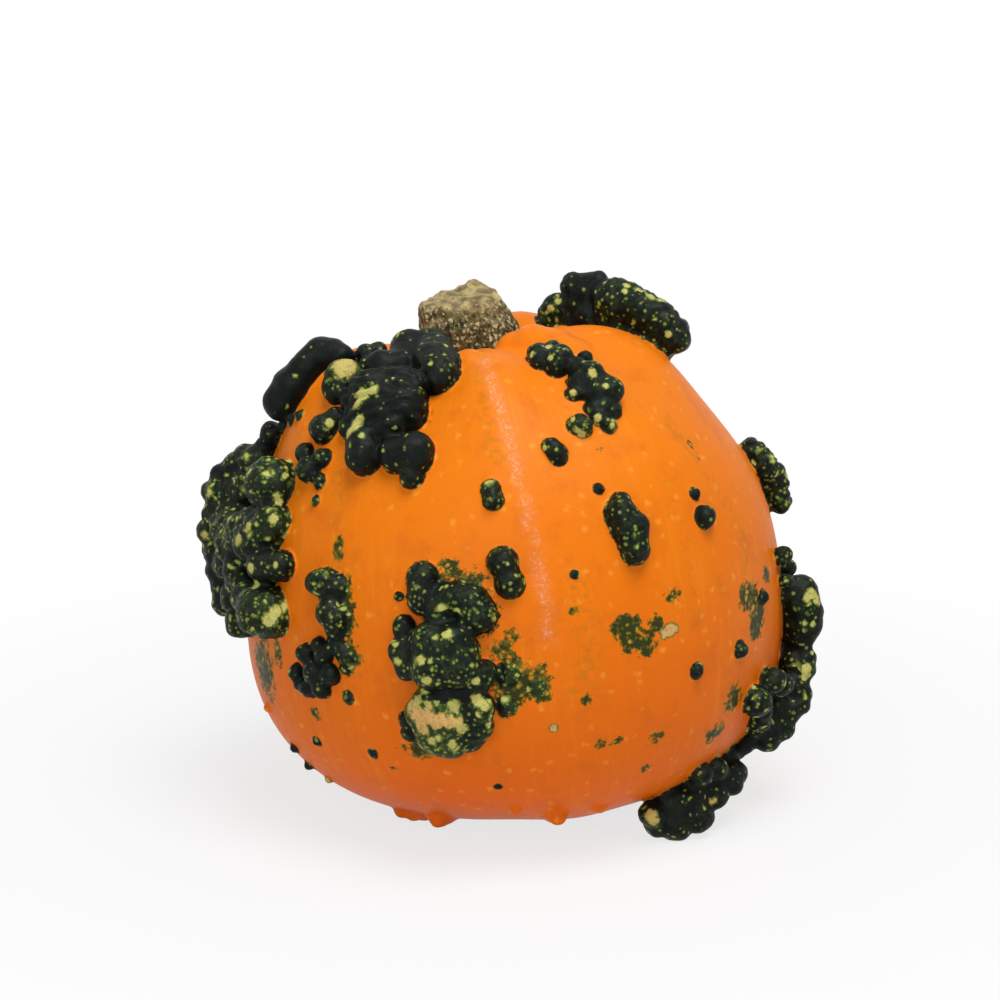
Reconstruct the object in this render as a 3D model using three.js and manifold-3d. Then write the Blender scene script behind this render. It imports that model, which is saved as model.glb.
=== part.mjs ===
// A warty mini pumpkin: one fruit, whose orange rind carries clusters of rounded warts, and
// the corky five-lobed stub of its stem. Millimetres, +Z up, +X to the right of the side
// that is shown and -Y towards the viewer. The origin lies on the surface that the pumpkin
// rests on, below the middle of the whole.
//
// Places on the fruit are given as on a globe whose north pole is the bottom of the stem
// hollow: longitude in degrees about the stem's axis, 0 to the right and -90 at the front,
// and latitude in degrees, 90 at the stem and -90 at the blossom end.

import * as THREE from 'three';
import { mergeVertices } from 'three/addons/utils/BufferGeometryUtils.js';
import Module from 'manifold-3d';

const wasm = await Module();
wasm.setup();

// The fruit's plain shape: half of one squared-off ellipse above the widest level and half
// of a flatter one below it.
const WIDEST_RADIUS = 63.5;
const HEIGHT_ABOVE = 71.5;
const DEPTH_BELOW = 46.3;
const FULLNESS_ABOVE = 2.05;
const FULLNESS_BELOW = 2.6;
const WIDEST_LEVEL = 47;                 // above the surface that the pumpkin rests on
const FRUIT_OFFSET_X = 1.2;              // the widest level's centre, from the origin
const FRUIT_OFFSET_Y = 2;

// The stem's axis leans to the left and back.
const AXIS_LEAN_LEFT = 8;
const AXIS_LEAN_BACK = 4.5;

// The hollow round the stem and the button at the blossom end, as shares of the radius, and
// how far in degrees each spreads.
const HOLLOW_DEPTH = 0.15;
const HOLLOW_SPREAD = 19;
const BUTTON_RISE = 0.05;
const BUTTON_SPREAD = 10;

// The right shoulder is flatter than the others: where, the share of the radius it lacks, and
// how far in degrees that spreads round the fruit and along it.
const FLAT_LONGITUDE = -8;
const FLAT_LATITUDE = 38;
const FLAT_DEPTH = 0.03;
const FLAT_SPREAD_ROUND = 24;
const FLAT_SPREAD_ALONG = 13;

// Ribs run from the stem to the blossom end and drift to one side on their way. Each has
// its longitude at the widest level, how high it is beside the others and its half width.
const RIBS = [
  { longitude: -81, height: 1.0, width: 15 },
  { longitude: -47, height: 0.5, width: 14 },
  { longitude: -9, height: 1.0, width: 18 },
  { longitude: 27, height: 0.5, width: 14 },
  { longitude: 63, height: 1.0, width: 16 },
  { longitude: 99, height: 0.5, width: 14 },
  { longitude: 135, height: 1.0, width: 16 },
  { longitude: 171, height: 0.7, width: 16 },
  { longitude: 207, height: 2.2, width: 24 },
  { longitude: 237, height: 0.5, width: 12 },
];
const RIB_DRIFT = 7;
const RIB_RISE = 0.014;                  // share of the radius at the widest level
const RIB_SHOULDER_RISE = 0.05;          // and what the shoulders add to it
const RIB_SHOULDER = 30;                 // degrees from the stem
const RIB_SHOULDER_SPREAD = 16;
const RIB_LEVEL = 0.55;                  // rib height that leaves the plain radius as it is
const RIB_FADE_STEM = 12;                // degrees over which ribs fade out at each end
const RIB_FADE_BLOSSOM = 30;

// Warts are heaps of round lobes. A lobe is [longitude, latitude, radius] or, where it is
// heaped on others, [longitude, latitude, radius, height of its centre above the rind].
const LOBE_STAND = 0.35;                 // the usual height of a lobe's centre, in radii
const WARTS = {
  // Upper left: the smooth bent wart, the one with a dry flat top, and those beside it.
  banana: [[-152, 62, 3.2, 2], [-157, 60, 3.8, 3.5], [-158, 56, 4.1, 3.5], [-162, 51, 4.7, 3.5]],
  disc: [[-142, 58, 4.6, 2.4]],
  collar: [[-145, 66, 3]],
  link: [[-169, 43, 3.6, 2]],
  // The big wrinkled heap that leans against the stem, and its small side lobes.
  crown: [
    [-126, 70, 4.7, 3], [-112, 68, 5.6, 3], [-107, 63, 5.3, 2.4], [-127, 62, 4.6], [-120, 57, 6, 2.5],
    [-115, 52, 6, 2.6], [-124, 51, 5.6, 2.5], [-123, 44, 4.8], [-110, 43, 5],
  ],
  fringe: [[-140, 47, 3.2], [-140, 40, 3.2]],
  // The heaviest heap, which stands out on the left and wraps round to the back.
  leftHeap: [
    [-154, 36, 6.3, 2.5], [-172, 35, 6, 4.5], [-175, 30, 4.5, 9], [-174, 28, 6.2, 5], [-166, 24, 6.2, 4],
    [-150, 28, 5], [-175, 21, 4.5, 8.6], [-147, 21, 4.7], [-173, 17, 5.5, 4.6], [-150, 12, 6.6, 2],
    [-166, 11, 5.5, 2.6], [-173, 10, 4.4, 4], [-162, 18, 5, 3.4], [172, 32, 6, 3.5], [171, 20, 6, 3],
  ],
  leftLower: [[-131, 18, 4], [-128, 13, 4.2], [-125, 4, 2.6], [-129, 6, 2.6]],
  knot: [[-134, 4, 4], [-140, -1, 3.2], [-134, -2, 4.4]],
  // The big heap at the front, with a corky scar across it.
  front: [
    [-107, 18, 4], [-102, 14, 4.2], [-96, 12, 5], [-111, 4, 5], [-104, 6, 5.8], [-99, 1, 5.8],
    [-106, 1, 5.6], [-100, -6, 4.2], [-108, -8, 5.2], [-103, -12, 5.8],
  ],
  pair: [[-90, 21, 3.2], [-89, 16, 3.4]],
  bud: [[-90, 34, 2.6]],
  // The crooked row on the upper right and the single warts below it.
  row: [
    [-61, 65, 3], [-53, 65, 2.3], [-58, 58, 3.6], [-49, 58, 2.3], [-55, 52, 4.2], [-51, 49, 3.3],
    [-56, 45, 2.6], [-65, 44, 2.8],
  ],
  drop: [[-74, 40, 2.8]],
  oval: [[-63, 26, 3.4], [-62, 22, 4.2], [-62, 18, 3.4]],
  beads: [[-42, 20, 2.6], [-67, 2, 2.4], [-63, 0, 1.8], [-38, -9, 2], [-51, -9, 1.8], [-27, 0, 1.9]],
  // The long segmented wart on the top right shoulder.
  ridgeTop: [
    [49, 66, 3.5, 2.5], [24, 66, 5, 3.5], [25, 70, 4.5, 7], [20, 67, 4, 8], [16, 61, 5.5, 6],
    [12, 55, 5.6, 5.6], [9, 52, 5, 5],
  ],
  rightOval: [[-1, 25, 3.4, 2.2], [-2, 20, 4.2, 3.6], [-3, 15, 3.8, 3.1]],
  // The chain down the right side, which ends in a lobe that the pumpkin stands on.
  rightChain: [
    [-6, 2, 2.8, 1.8], [-7, -4, 4.6, 4.2], [-8, -10, 5.2, 4.8], [-9, -17, 4.6, 4.4], [0, -8, 4, 2.4],
  ],
  rightKnot: [
    [-21, -19, 3.6], [-28, -23, 4], [-12, -22, 4.6, 4], [-13, -26, 4.6, 4.2], [-16, -30, 4.6, 3.4],
    [-20, -36, 2.8, 1.5], [-21, -26, 3.6],
  ],
  rightFoot: [
    [-25, -41, 4, 1.5], [-30, -45, 3.8, 3.2], [-37, -46, 5, 4], [-44, -48, 5, 4.5], [-46, -48, 4.5, 8.4],
    [-51, -50, 4.4, 7],
  ],
  // Orange nubs of the rind at the front, which it also stands on.
  nubs: [[-137, -52, 2.6, 0.9], [-82, -66, 2.6, 0.5]],
  // The back.
  backCrest: [[77, 54, 5.2, 2.6], [81, 48, 5.6, 2.6], [76, 43, 5], [84, 40, 4.6]],
  backHeap: [
    [122, 22, 5], [129, 17, 5.8, 2.6], [119, 12, 6, 2.6], [131, 9, 5.6, 2.4], [124, 4, 6.4, 3], [134, 0, 4.8],
    [126, -6, 5.2],
  ],
  backOval: [[50, 14, 4.4], [49, 8, 4.6], [52, 2, 3.4]],
  backRow: [[38, 33, 3.2], [33, 29, 3.8], [34, 24, 3]],
  backLow: [[81, -15, 5], [77, -20, 4.6], [85, -24, 4.2]],
  backFootLeft: [[121, -41, 4.8, 2.5], [115, -43, 4.4, 1.4]],
  backFootRight: [[65, -48, 4.6, 1.6], [66, -41, 3.4, 1]],
  backBeads: [
    [100, 36, 2.6], [61, 30, 2.7], [150, 41, 3], [148, -16, 2.6], [28, -16, 2.6], [140, 58, 2.8],
  ],
};

// Facets of the rind and of the lobes.
const RIND_SIDES = 40;
const RIND_BANDS = 20;
const FINE_LOBE = 4.7;                   // radius from which a lobe gets the finer ball
const LOBE_TURN = 2.4;                   // radians by which each ball is turned past the last

// The stem: half widths at heights above the bottom of the hollow, the slope of its cut
// top, and its five lobes, which carry on the main ribs.
const STEM_PROFILE = [
  [-6, 8.6], [0, 9.8], [4, 10.8], [8.5, 10.4], [12.5, 9.4], [14.1, 8.5],
];
const STEM_OFFSET_LEFT = 1.2;
const STEM_LEAN_LEFT = 0.22;             // sideways run for each millimetre of height
const STEM_TOP_SLOPE_LEFT = 0.12;
const STEM_TOP_SLOPE_FRONT = 0.05;
// Its lobes and the gap between two of them: direction, rise of the half width, spread.
const STEM_LOBES = [
  [-168, 0.12, 24], [-112, 0.1, 20], [-52, 0.14, 20], [12, 0.18, 18], [72, 0.16, 20], [128, -0.12, 24],
];
const STEM_LOBE_LEVEL = 0.05;
const STEM_SIDES = 40;
const STEM_GAP = 0.3;                    // between the stem and the rind that it sits on

const RIND_COLOUR = 0xe8751a;
const STEM_COLOUR = 0xa8935f;

const axisTurn = new THREE.Euler(
  THREE.MathUtils.degToRad(-AXIS_LEAN_BACK),
  THREE.MathUtils.degToRad(-AXIS_LEAN_LEFT),
  0,
);
const fruitCentre = new THREE.Vector3(FRUIT_OFFSET_X, FRUIT_OFFSET_Y, WIDEST_LEVEL);

function bell(distance, spread) {
  return Math.exp(-((distance / spread) ** 2));
}

function fade(distance, length) {
  return Math.min(1, distance / length);
}

function wrapDegrees(angle) {
  return THREE.MathUtils.euclideanModulo(angle + 180, 360) - 180;
}

function directionAt(longitude, latitude) {
  const east = THREE.MathUtils.degToRad(longitude);
  const north = THREE.MathUtils.degToRad(latitude);
  const direction = new THREE.Vector3(
    Math.cos(north) * Math.cos(east),
    Math.cos(north) * Math.sin(east),
    Math.sin(north),
  );
  return direction.applyEuler(axisTurn);
}

function plainRadius(direction) {
  const above = direction.z > 0;
  const reach = above ? HEIGHT_ABOVE : DEPTH_BELOW;
  const fullness = above ? FULLNESS_ABOVE : FULLNESS_BELOW;
  const outward = Math.hypot(direction.x, direction.y) / WIDEST_RADIUS;
  const upward = Math.abs(direction.z) / reach;
  return (outward ** fullness + upward ** fullness) ** (-1 / fullness);
}

function ribHeight(longitude, latitude) {
  let height = 0;
  for (const rib of RIBS) {
    const crest = rib.longitude - (RIB_DRIFT * latitude) / 90;
    height += rib.height * bell(wrapDegrees(longitude - crest), rib.width);
  }
  return height - RIB_LEVEL;
}

function rindRadius(longitude, latitude) {
  const fromStem = 90 - latitude;
  const fromBlossom = 90 + latitude;
  const hollow = HOLLOW_DEPTH * bell(fromStem, HOLLOW_SPREAD);
  const button = BUTTON_RISE * bell(fromBlossom, BUTTON_SPREAD);
  const shoulder = RIB_SHOULDER_RISE * bell(fromStem - RIB_SHOULDER, RIB_SHOULDER_SPREAD);
  const ends = fade(fromStem, RIB_FADE_STEM) * fade(fromBlossom, RIB_FADE_BLOSSOM);
  const ribs = (RIB_RISE + shoulder) * ends * ribHeight(longitude, latitude);
  const flat =
    FLAT_DEPTH *
    bell(wrapDegrees(longitude - FLAT_LONGITUDE), FLAT_SPREAD_ROUND) *
    bell(latitude - FLAT_LATITUDE, FLAT_SPREAD_ALONG);
  return plainRadius(directionAt(longitude, latitude)) * (1 - hollow + button - flat) * (1 + ribs);
}

function pointOnFruit(longitude, latitude, height) {
  const direction = directionAt(longitude, latitude);
  return direction.multiplyScalar(rindRadius(longitude, latitude) + height).add(fruitCentre);
}

function toSolid(geometry) {
  const bare = geometry.clone();
  bare.deleteAttribute('normal');
  bare.deleteAttribute('uv');
  const merged = mergeVertices(bare);
  return new wasm.Manifold(new wasm.Mesh({
    numProp: 3,
    vertProperties: new Float32Array(merged.attributes.position.array),
    triVerts: new Uint32Array(merged.index.array),
  }));
}

function toGeometry(solid) {
  const mesh = solid.getMesh();
  const geometry = new THREE.BufferGeometry();
  geometry.setAttribute('position', new THREE.BufferAttribute(mesh.vertProperties, 3));
  geometry.setIndex(new THREE.BufferAttribute(mesh.triVerts, 1));
  return geometry;
}

// Moves every vertex of a geometry to where place() puts it.
function reshape(geometry, place) {
  const position = geometry.attributes.position;
  const vertex = new THREE.Vector3();
  for (let i = 0; i < position.count; i += 1) {
    vertex.fromBufferAttribute(position, i);
    const placed = place(vertex);
    position.setXYZ(i, placed.x, placed.y, placed.z);
  }
  return geometry;
}

// The rind without its warts, grown outwards by grow.
function rind(grow) {
  const globe = new THREE.SphereGeometry(1, RIND_SIDES, RIND_BANDS).rotateX(Math.PI / 2);
  return reshape(globe, (vertex) => {
    const longitude = THREE.MathUtils.radToDeg(Math.atan2(vertex.y, vertex.x));
    const latitude = THREE.MathUtils.radToDeg(Math.asin(THREE.MathUtils.clamp(vertex.z, -1, 1)));
    return pointOnFruit(longitude, latitude, grow);
  });
}

function lobe([longitude, latitude, radius, stand = LOBE_STAND * radius], turn, grow) {
  const ball = new THREE.IcosahedronGeometry(radius + grow, radius < FINE_LOBE ? 0 : 1);
  ball.rotateX(turn).rotateZ(turn);
  const centre = pointOnFruit(longitude, latitude, stand);
  return ball.translate(centre.x, centre.y, centre.z);
}

function fruitSolid(grow) {
  let solid = toSolid(rind(grow));
  Object.values(WARTS).flat().forEach((wart, index) => {
    solid = solid.add(toSolid(lobe(wart, index * LOBE_TURN, grow)));
  });
  return solid;
}

// A block that takes away all that would reach below the surface that the fruit rests on.
function belowRest() {
  const side = 4 * WIDEST_RADIUS;
  return new THREE.BoxGeometry(side, side, WIDEST_LEVEL).translate(0, 0, -WIDEST_LEVEL / 2);
}

function stemLobes(direction) {
  return STEM_LOBES.reduce((width, [lobeDirection, rise, spread]) => (
    width + rise * bell(wrapDegrees(direction - lobeDirection), spread)
  ), 1 - STEM_LOBE_LEVEL);
}

// A ring of the cylinder for each level of the profile, pushed into five lobes.
function stemShape() {
  const bands = STEM_PROFILE.length - 1;
  const post = new THREE.CylinderGeometry(1, 1, 1, STEM_SIDES, bands).rotateX(Math.PI / 2);
  const foot = pointOnFruit(0, 90, 0);
  return reshape(post, (vertex) => {
    const band = Math.round((vertex.z + 0.5) * bands);
    const [level, halfWidth] = STEM_PROFILE[band];
    const angle = Math.atan2(vertex.y, vertex.x);
    const lobed = halfWidth * stemLobes(THREE.MathUtils.radToDeg(angle));
    const across = Math.hypot(vertex.x, vertex.y) * lobed;
    const x = across * Math.cos(angle);
    const y = across * Math.sin(angle);
    const sloped = Math.max(0, level) / STEM_PROFILE[bands][0];
    const z = level + sloped * (STEM_TOP_SLOPE_LEFT * x + STEM_TOP_SLOPE_FRONT * y);
    const lean = STEM_OFFSET_LEFT + STEM_LEAN_LEFT * Math.max(0, level);
    return new THREE.Vector3(foot.x + x - lean, foot.y + y, foot.z + z);
  });
}

function fruitMesh() {
  const solid = fruitSolid(0).subtract(toSolid(belowRest()));
  const material = new THREE.MeshStandardMaterial({
    color: RIND_COLOUR, roughness: 0.45, metalness: 0,
  });
  const mesh = new THREE.Mesh(toGeometry(solid), material);
  mesh.name = 'fruit';
  return mesh;
}

function stemMesh() {
  const solid = toSolid(stemShape()).subtract(fruitSolid(STEM_GAP));
  const material = new THREE.MeshStandardMaterial({
    color: STEM_COLOUR, roughness: 0.85, metalness: 0,
  });
  const mesh = new THREE.Mesh(toGeometry(solid), material);
  mesh.name = 'stem';
  return mesh;
}

const pumpkin = new THREE.Group();
pumpkin.add(fruitMesh(), stemMesh());

export default pumpkin;
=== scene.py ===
"""Looks of a warty mini pumpkin: its waxy orange rind with clusters of dark green warts, and
the corky five-lobed stub of its stem. Lengths in the tables are millimetres and angles are
degrees. Places on the fruit are given as on a globe whose north pole is the bottom of the
stem hollow: longitude 0 is to the right and -90 at the front."""

import itertools
import math
import random

import bmesh
import bpy
import numpy as np
from mathutils import Matrix, Vector, noise


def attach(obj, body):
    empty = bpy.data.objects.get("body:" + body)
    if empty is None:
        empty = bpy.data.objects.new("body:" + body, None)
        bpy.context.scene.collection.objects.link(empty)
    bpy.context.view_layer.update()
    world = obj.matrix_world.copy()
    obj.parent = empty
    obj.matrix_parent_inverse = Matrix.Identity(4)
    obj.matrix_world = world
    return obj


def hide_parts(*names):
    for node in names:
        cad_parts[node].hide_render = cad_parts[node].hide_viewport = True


bl_info = {
    "name": "Warty mini pumpkin",
    "version": (1, 0, 0),
    "blender": (4, 5, 0),
    "location": "3D View > Sidebar > Pumpkin",
    "description": "Builds the skin, warts and stem of a warty mini pumpkin on its packed frame",
    "category": "Object",
}

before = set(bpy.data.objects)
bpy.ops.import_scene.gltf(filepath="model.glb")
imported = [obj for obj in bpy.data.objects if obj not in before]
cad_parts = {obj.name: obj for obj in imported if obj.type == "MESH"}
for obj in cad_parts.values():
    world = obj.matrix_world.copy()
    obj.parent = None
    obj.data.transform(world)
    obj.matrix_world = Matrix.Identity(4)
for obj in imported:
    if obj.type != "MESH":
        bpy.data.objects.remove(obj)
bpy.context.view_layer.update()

MM = 0.001

# The fruit's plain shape, as in the solids: half of one squared-off ellipse above the widest
# level and half of a flatter one below it.
WIDEST_RADIUS = 63.5
HEIGHT_ABOVE = 71.5
DEPTH_BELOW = 46.3
FULLNESS_ABOVE = 2.05
FULLNESS_BELOW = 2.6
FRUIT_CENTRE = (1.2, 2.0, 47.0)
AXIS_LEAN_LEFT = 8
AXIS_LEAN_BACK = 4.5
HOLLOW_DEPTH = 0.15
HOLLOW_SPREAD = 19
BUTTON_RISE = 0.05
BUTTON_SPREAD = 10

# The right shoulder is flatter: where, the share of the radius it lacks, and how far that
# spreads round the fruit and along it.
FLAT_LONGITUDE = -8
FLAT_LATITUDE = 38
FLAT_DEPTH = 0.03
FLAT_SPREAD_ROUND = 24
FLAT_SPREAD_ALONG = 13

# Ribs: longitude at the widest level, height beside the others, half width.
RIBS = (
    (-81, 1.0, 15), (-47, 0.5, 14), (-9, 1.0, 18), (27, 0.5, 14), (63, 1.0, 16),
    (99, 0.5, 14), (135, 1.0, 16), (171, 0.7, 16), (207, 2.2, 24), (237, 0.5, 12),
)
RIB_DRIFT = 7
RIB_RISE = 0.014
RIB_SHOULDER_RISE = 0.05
RIB_SHOULDER = 30
RIB_SHOULDER_SPREAD = 16
RIB_LEVEL = 0.55
RIB_FADE_STEM = 12
RIB_FADE_BLOSSOM = 30

# Warts: for each one how densely it is spotted, how deeply it is creased, how far its colour
# frays out over the rind, how smoothly its lobes are merged (0 leaves them apart), and its
# round lobes. A lobe is longitude, latitude, radius and, where it isn't LOBE_STAND of the
# radius, the height of its centre above the rind.
LOBE_STAND = 0.35
WARTS = {
    "banana": (0.06, 0, 0, 0.96, (
        (-150, 61.9, 2.9, 1.5), (-154, 61.4, 3.4, 2.5), (-157, 60.3, 3.9, 3.5),
        (-158.5, 55.8, 4, 3.3), (-160, 53.2, 4.6, 3.5), (-162, 49.8, 4.5, 3.5),
    )),
    "disc": (0.4, 0, 0, 0.97, ((-140.5, 57.9, 4.3, 2.4), (-140.6, 55.6, 3.7, 2))),
    "collar": (0.7, 0.2, 0, 0, (
        (-145, 65.2, 2.5, 0.8), (-144, 67.3, 2.3, 0.8), (-137, 59.1, 2.5, 1),
        (-140, 63, 2.4, 0.6),
    )),
    "crown_left": (0.2, 0, 0, 0.95, ((-127.4, 69.4, 4.6, 3.2), (-124.7, 66.2, 3.9, 2.4))),
    "crown_top": (0.35, 0, 0, 0.98, (
        (-117.4, 71.5, 5.1, 3.5), (-105.6, 61.9, 4.9, 2.6), (-109.8, 66, 5.2, 3.2),
    )),
    "crown_fold": (0.2, 0, 0, 0.95, ((-129, 62.3, 3.9, 2.8), (-123.6, 63.6, 3.8, 2.8))),
    "crown_barrel": (0.2, 0, 0, 0.98, (
        (-126, 55.5, 5.8, 2.5), (-117, 57.4, 5.8, 2.5), (-124, 51.3, 5.4, 2.5),
        (-115, 52.5, 5.8, 2.5), (-121, 53.8, 6, 3), (-117, 49.1, 4.6, 2),
    )),
    "crown_side": (0.6, 0, 0, 0, (
        (-133, 54, 3, 1.2), (-130, 48.8, 3, 1.2), (-130, 51.4, 3, 1.2),
    )),
    "crown_low": (0.25, 0, 0, 0.98, ((-122.9, 42.8, 4.3, 2), (-123.6, 46, 4.5, 2))),
    "crown_right": (0.2, 0, 0, 0.97, (
        (-114, 43, 3.9, 2), (-108.9, 43.8, 4.3, 2.2), (-108.4, 42.3, 3.8, 2),
    )),
    "crown_tip": (0.6, 0, 0, 0, ((-109.4, 39.2, 2.8, 0.8),)),
    "fringe": (0.7, 0.1, 0, 0, (
        (-140, 47.9, 3.5, 1.2), (-137.7, 50.3, 2.6, 0.8), (-144.5, 42.8, 2.4, 1),
        (-137.3, 42.6, 2.2, 1), (-140.7, 40.1, 3, 1), (-136.7, 38.1, 1.7, 0.6),
    )),
    "fringe_bead": (0.9, 0, 0, 0, ((-136.7, 34.4, 1.1, 0.5),)),
    "link": (0.4, 0.1, 0, 0, ((-169, 44.3, 3.2, 2.5), (-171, 41.7, 3, 3))),
    "link_beads": (0.9, 0, 0.1, 0, (
        (-165, 46.8, 1.6, 0.6), (-158, 48.2, 1.3, 0.5), (-153.5, 49.4, 1.2, 0.5),
    )),
    "heap_top": (0.95, 0.25, 0, 0, ((-153, 35.8, 6.6, 2.5),)),
    "heap_left": (0.95, 0.25, 0, 0.85, (
        (-170, 33, 5.2, 3.5), (-174.4, 32.2, 4.8, 6.5), (-174.4, 29, 4.4, 8),
    )),
    "heap_arch": (0.8, 0.15, 0, 0, (
        (-173, 37.6, 4, 6), (-170, 38.1, 4.2, 4), (-174.2, 35.3, 3.8, 8.2),
        (-175.6, 32.6, 3.4, 10.2),
    )),
    "heap_far": (0.95, 0.15, 0, 0.8, (
        (-176.6, 29.1, 3, 11.8), (-174, 29.7, 3.8, 10), (-174, 26.1, 3.8, 9.4),
        (-175, 22.6, 4, 9.4), (-174, 19.4, 4, 7.6), (-175.4, 15.1, 2.9, 7.5),
        (-174.2, 10.2, 2.6, 6),
    )),
    "heap_mid": (1, 0.35, 0, 0.97, (
        (-158.5, 26.4, 5.6, 3), (-148.7, 28.9, 4.6, 2.2), (-150.4, 26.4, 5, 2.8),
        (-163.4, 24.9, 5, 4), (-170, 25.9, 5.2, 6), (-164, 22.4, 4.8, 5),
        (-154.6, 23.6, 4.8, 3.2),
    )),
    "heap_bean": (0.45, 0, 0, 0.98, ((-148.3, 20.2, 3.8, 3.2), (-143.4, 20.9, 3.7, 2.2))),
    "heap_low": (0.95, 0.2, 0, 0.96, (
        (-148, 11.7, 6.6, 2.6), (-153, 13.6, 4.4, 3.6), (-145.8, 10.6, 4.6, 1.8),
    )),
    "heap_small": (0.8, 0.15, 0, 0, (
        (-162, 15.3, 3.2, 3.6), (-173, 15.7, 3.6, 6.6), (-171, 9.8, 3.8, 4.6),
        (-160.7, 7.8, 4.2, 2.6), (-172, 13, 4, 5), (-169, 18.5, 5, 4), (-166, 12, 4.6, 2.6),
        (-161, 18.4, 4.4, 3.6), (-158, 15.6, 3.6, 2.4),
    )),
    "heap_back": (0.8, 0.4, 0, 0.9, (
        (172, 33, 6, 3.5), (168, 27, 5.5), (173, 21, 6, 3.5), (170, 14, 5, 2.5), (163, 21, 4.5),
        (174, 7, 4.2), (-178, 27, 6, 6), (-178, 17, 5.4, 4), (-176, 36, 5, 4.5),
    )),
    "left_lower": (0.7, 0.1, 0.3, 0, (
        (-131, 18.3, 3.5, 1.5), (-129.7, 18.5, 3.3, 1.4), (-127.3, 17.9, 2.8, -0.1),
        (-128.5, 13, 3.6, 1), (-127.2, 11.9, 3.3, 0.6), (-127.8, 9.4, 2.6, 0.3),
    )),
    "left_foot": (0.8, 0.2, 0.4, 0, (
        (-128.6, 6.1, 2.2, 0.4), (-127.1, 5.3, 2.1, 0.2), (-125.6, 3.5, 2, 0.2),
        (-126.3, 1.8, 1.5, 0),
    )),
    "knot": (0.4, 0, 0, 0, (
        (-136.1, 4.2, 2.4, 1.6), (-132.4, 6.3, 1.7, 1.2), (-130.8, 4.5, 2.2, 1.4),
        (-139.9, 0.1, 2, 1.2), (-130.1, 0.2, 2.4, 1.2), (-133, -2.7, 2.3, 1),
        (-136.9, -3, 2.3, 1), (-139.5, -2.5, 1.6, 0.8), (-134.2, 1, 2.7, 1.4),
        (-134.5, 0.8, 3.4, 0),
    )),
    "knot_bead": (0.8, 0, 0.1, 0, ((-127, -4.6, 1.4, 0.3),)),
    "front_top": (0.65, 0.1, 0.3, 0.98, ((-106.9, 18.9, 3.6, 1), (-107.3, 15.1, 3.6, 1.2))),
    "front_broad": (0.72, 0.1, 0.5, 0.98, (
        (-102.2, 14.4, 4, -0.2), (-97.4, 13.4, 4.2, 0.8), (-96, 11, 4.2, 1),
        (-99.6, 14.4, 3.9, 0.2), (-104, 12.4, 3.4, 0.6),
    )),
    "front_bead": (0.3, 0, 0, 0, ((-111.7, 9.7, 2.6, 1),)),
    "front_left": (0.85, 0, 0, 0.97, ((-111.6, 4.8, 3.6, 2.4), (-110.8, 2.2, 3.4, 2.5))),
    "front": (0.85, 0, 0, 0.97, (
        (-105.7, 6.3, 5, 3), (-101.2, 6.2, 4.8, 3), (-105.5, 2.2, 5.5, 3.6),
        (-100.4, 1.8, 4.8, 3.6), (-99.6, 4.2, 3.9, 2.6),
    )),
    "front_right": (0.95, 0, 0, 0, ((-96.1, -0.4, 2.9, 2.2), (-97.6, -2, 2.9, 2.4))),
    "front_low": (1.4, 0, 0, 0.98, (
        (-109.8, -7.3, 3.9, 2.6), (-107.8, -11.6, 4.8, 2.4), (-104.6, -12.8, 4.6, 2.2),
        (-104.3, -8.3, 5.1, 2.8), (-108.2, -5.2, 3.9, 2.4),
    )),
    "front_low_right": (1.1, 0, 0, 0.98, (
        (-98.6, -7.2, 3.8, 2.4), (-99, -11.4, 3.2, 1.8), (-101.2, -13.2, 3.6, 1.8),
    )),
    "front_gap": (0.2, 0, 0, 0, ((-103.7, -4.4, 3.4, 2.4), (-99.6, -4.1, 3, 2))),
    "front_foot": (0.7, 0.1, 0, 0, ((-114.1, -9.4, 2, 0.8), (-114.3, -12.4, 1.9, 0.6))),
    "front_side": (1.2, 0.2, 0.6, 0, (
        (-91.9, -1.8, 2.9, -1.5), (-93, -8, 2.4, -1), (-86.6, -5.1, 2, -1.1),
    )),
    "pair": (0.6, 0.1, 0, 0, (
        (-89.8, 20.4, 3.3, 0.6), (-88.9, 16.1, 3.2, 0.6), (-89.3, 18.1, 2.7, 0.4),
    )),
    "bud": (0.8, 0.1, 0.1, 0.95, ((-90.3, 34.4, 2.1, 0.6), (-90, 32.3, 2.2, 0.6))),
    "row": (0.6, 0.1, 0, 0, (
        (-64.1, 63.4, 2.5, 1.8), (-64.2, 61.3, 2.6, 1.3), (-60.8, 65.3, 1.9, 1.3),
        (-56.2, 63.4, 2.4, 1.6), (-59.3, 59, 3.4, 2.2), (-61.4, 58.2, 2.5, 1.4),
        (-48.7, 58.2, 2.2, 1), (-55.6, 55.8, 2.6, 2), (-54.3, 53.2, 3.3, 2.4),
        (-51.9, 48.5, 3.1, 2.4), (-52.5, 49.9, 2.7, 2.4), (-55.3, 49.5, 2.9, 2),
        (-57.9, 53.2, 2.6, 1.4), (-55.8, 48.2, 2.3, 1.4), (-60, 61, 2.4, 0.8),
    )),
    "row_foot": (0.95, 0.1, 0, 0, (
        (-61.6, 51.2, 1.8, 0.7), (-59.1, 54, 1.6, 0.8), (-58.1, 50.6, 2, 1),
        (-58.7, 46.9, 2, 0.8), (-53.7, 45.3, 2.1, 0.9), (-58.8, 44.6, 1.8, 0.6),
        (-57, 42.7, 1.9, 0.6), (-55.9, 46.2, 2.1, 1.2),
    )),
    "row_end": (0.95, 0.1, 0, 0.95, (
        (-65.2, 44.2, 2.4, 0.8), (-64.3, 43.4, 2.2, 0.8), (-64.3, 44.9, 1.7, 0.8),
    )),
    "drop": (0.5, 0.1, 0, 0.95, (
        (-74, 40.7, 2.1, 0.7), (-73.1, 39.5, 2.4, 0.8), (-73.1, 38.5, 1.9, 0.5),
    )),
    "oval": (0.6, 0.1, 0.2, 0.98, (
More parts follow.
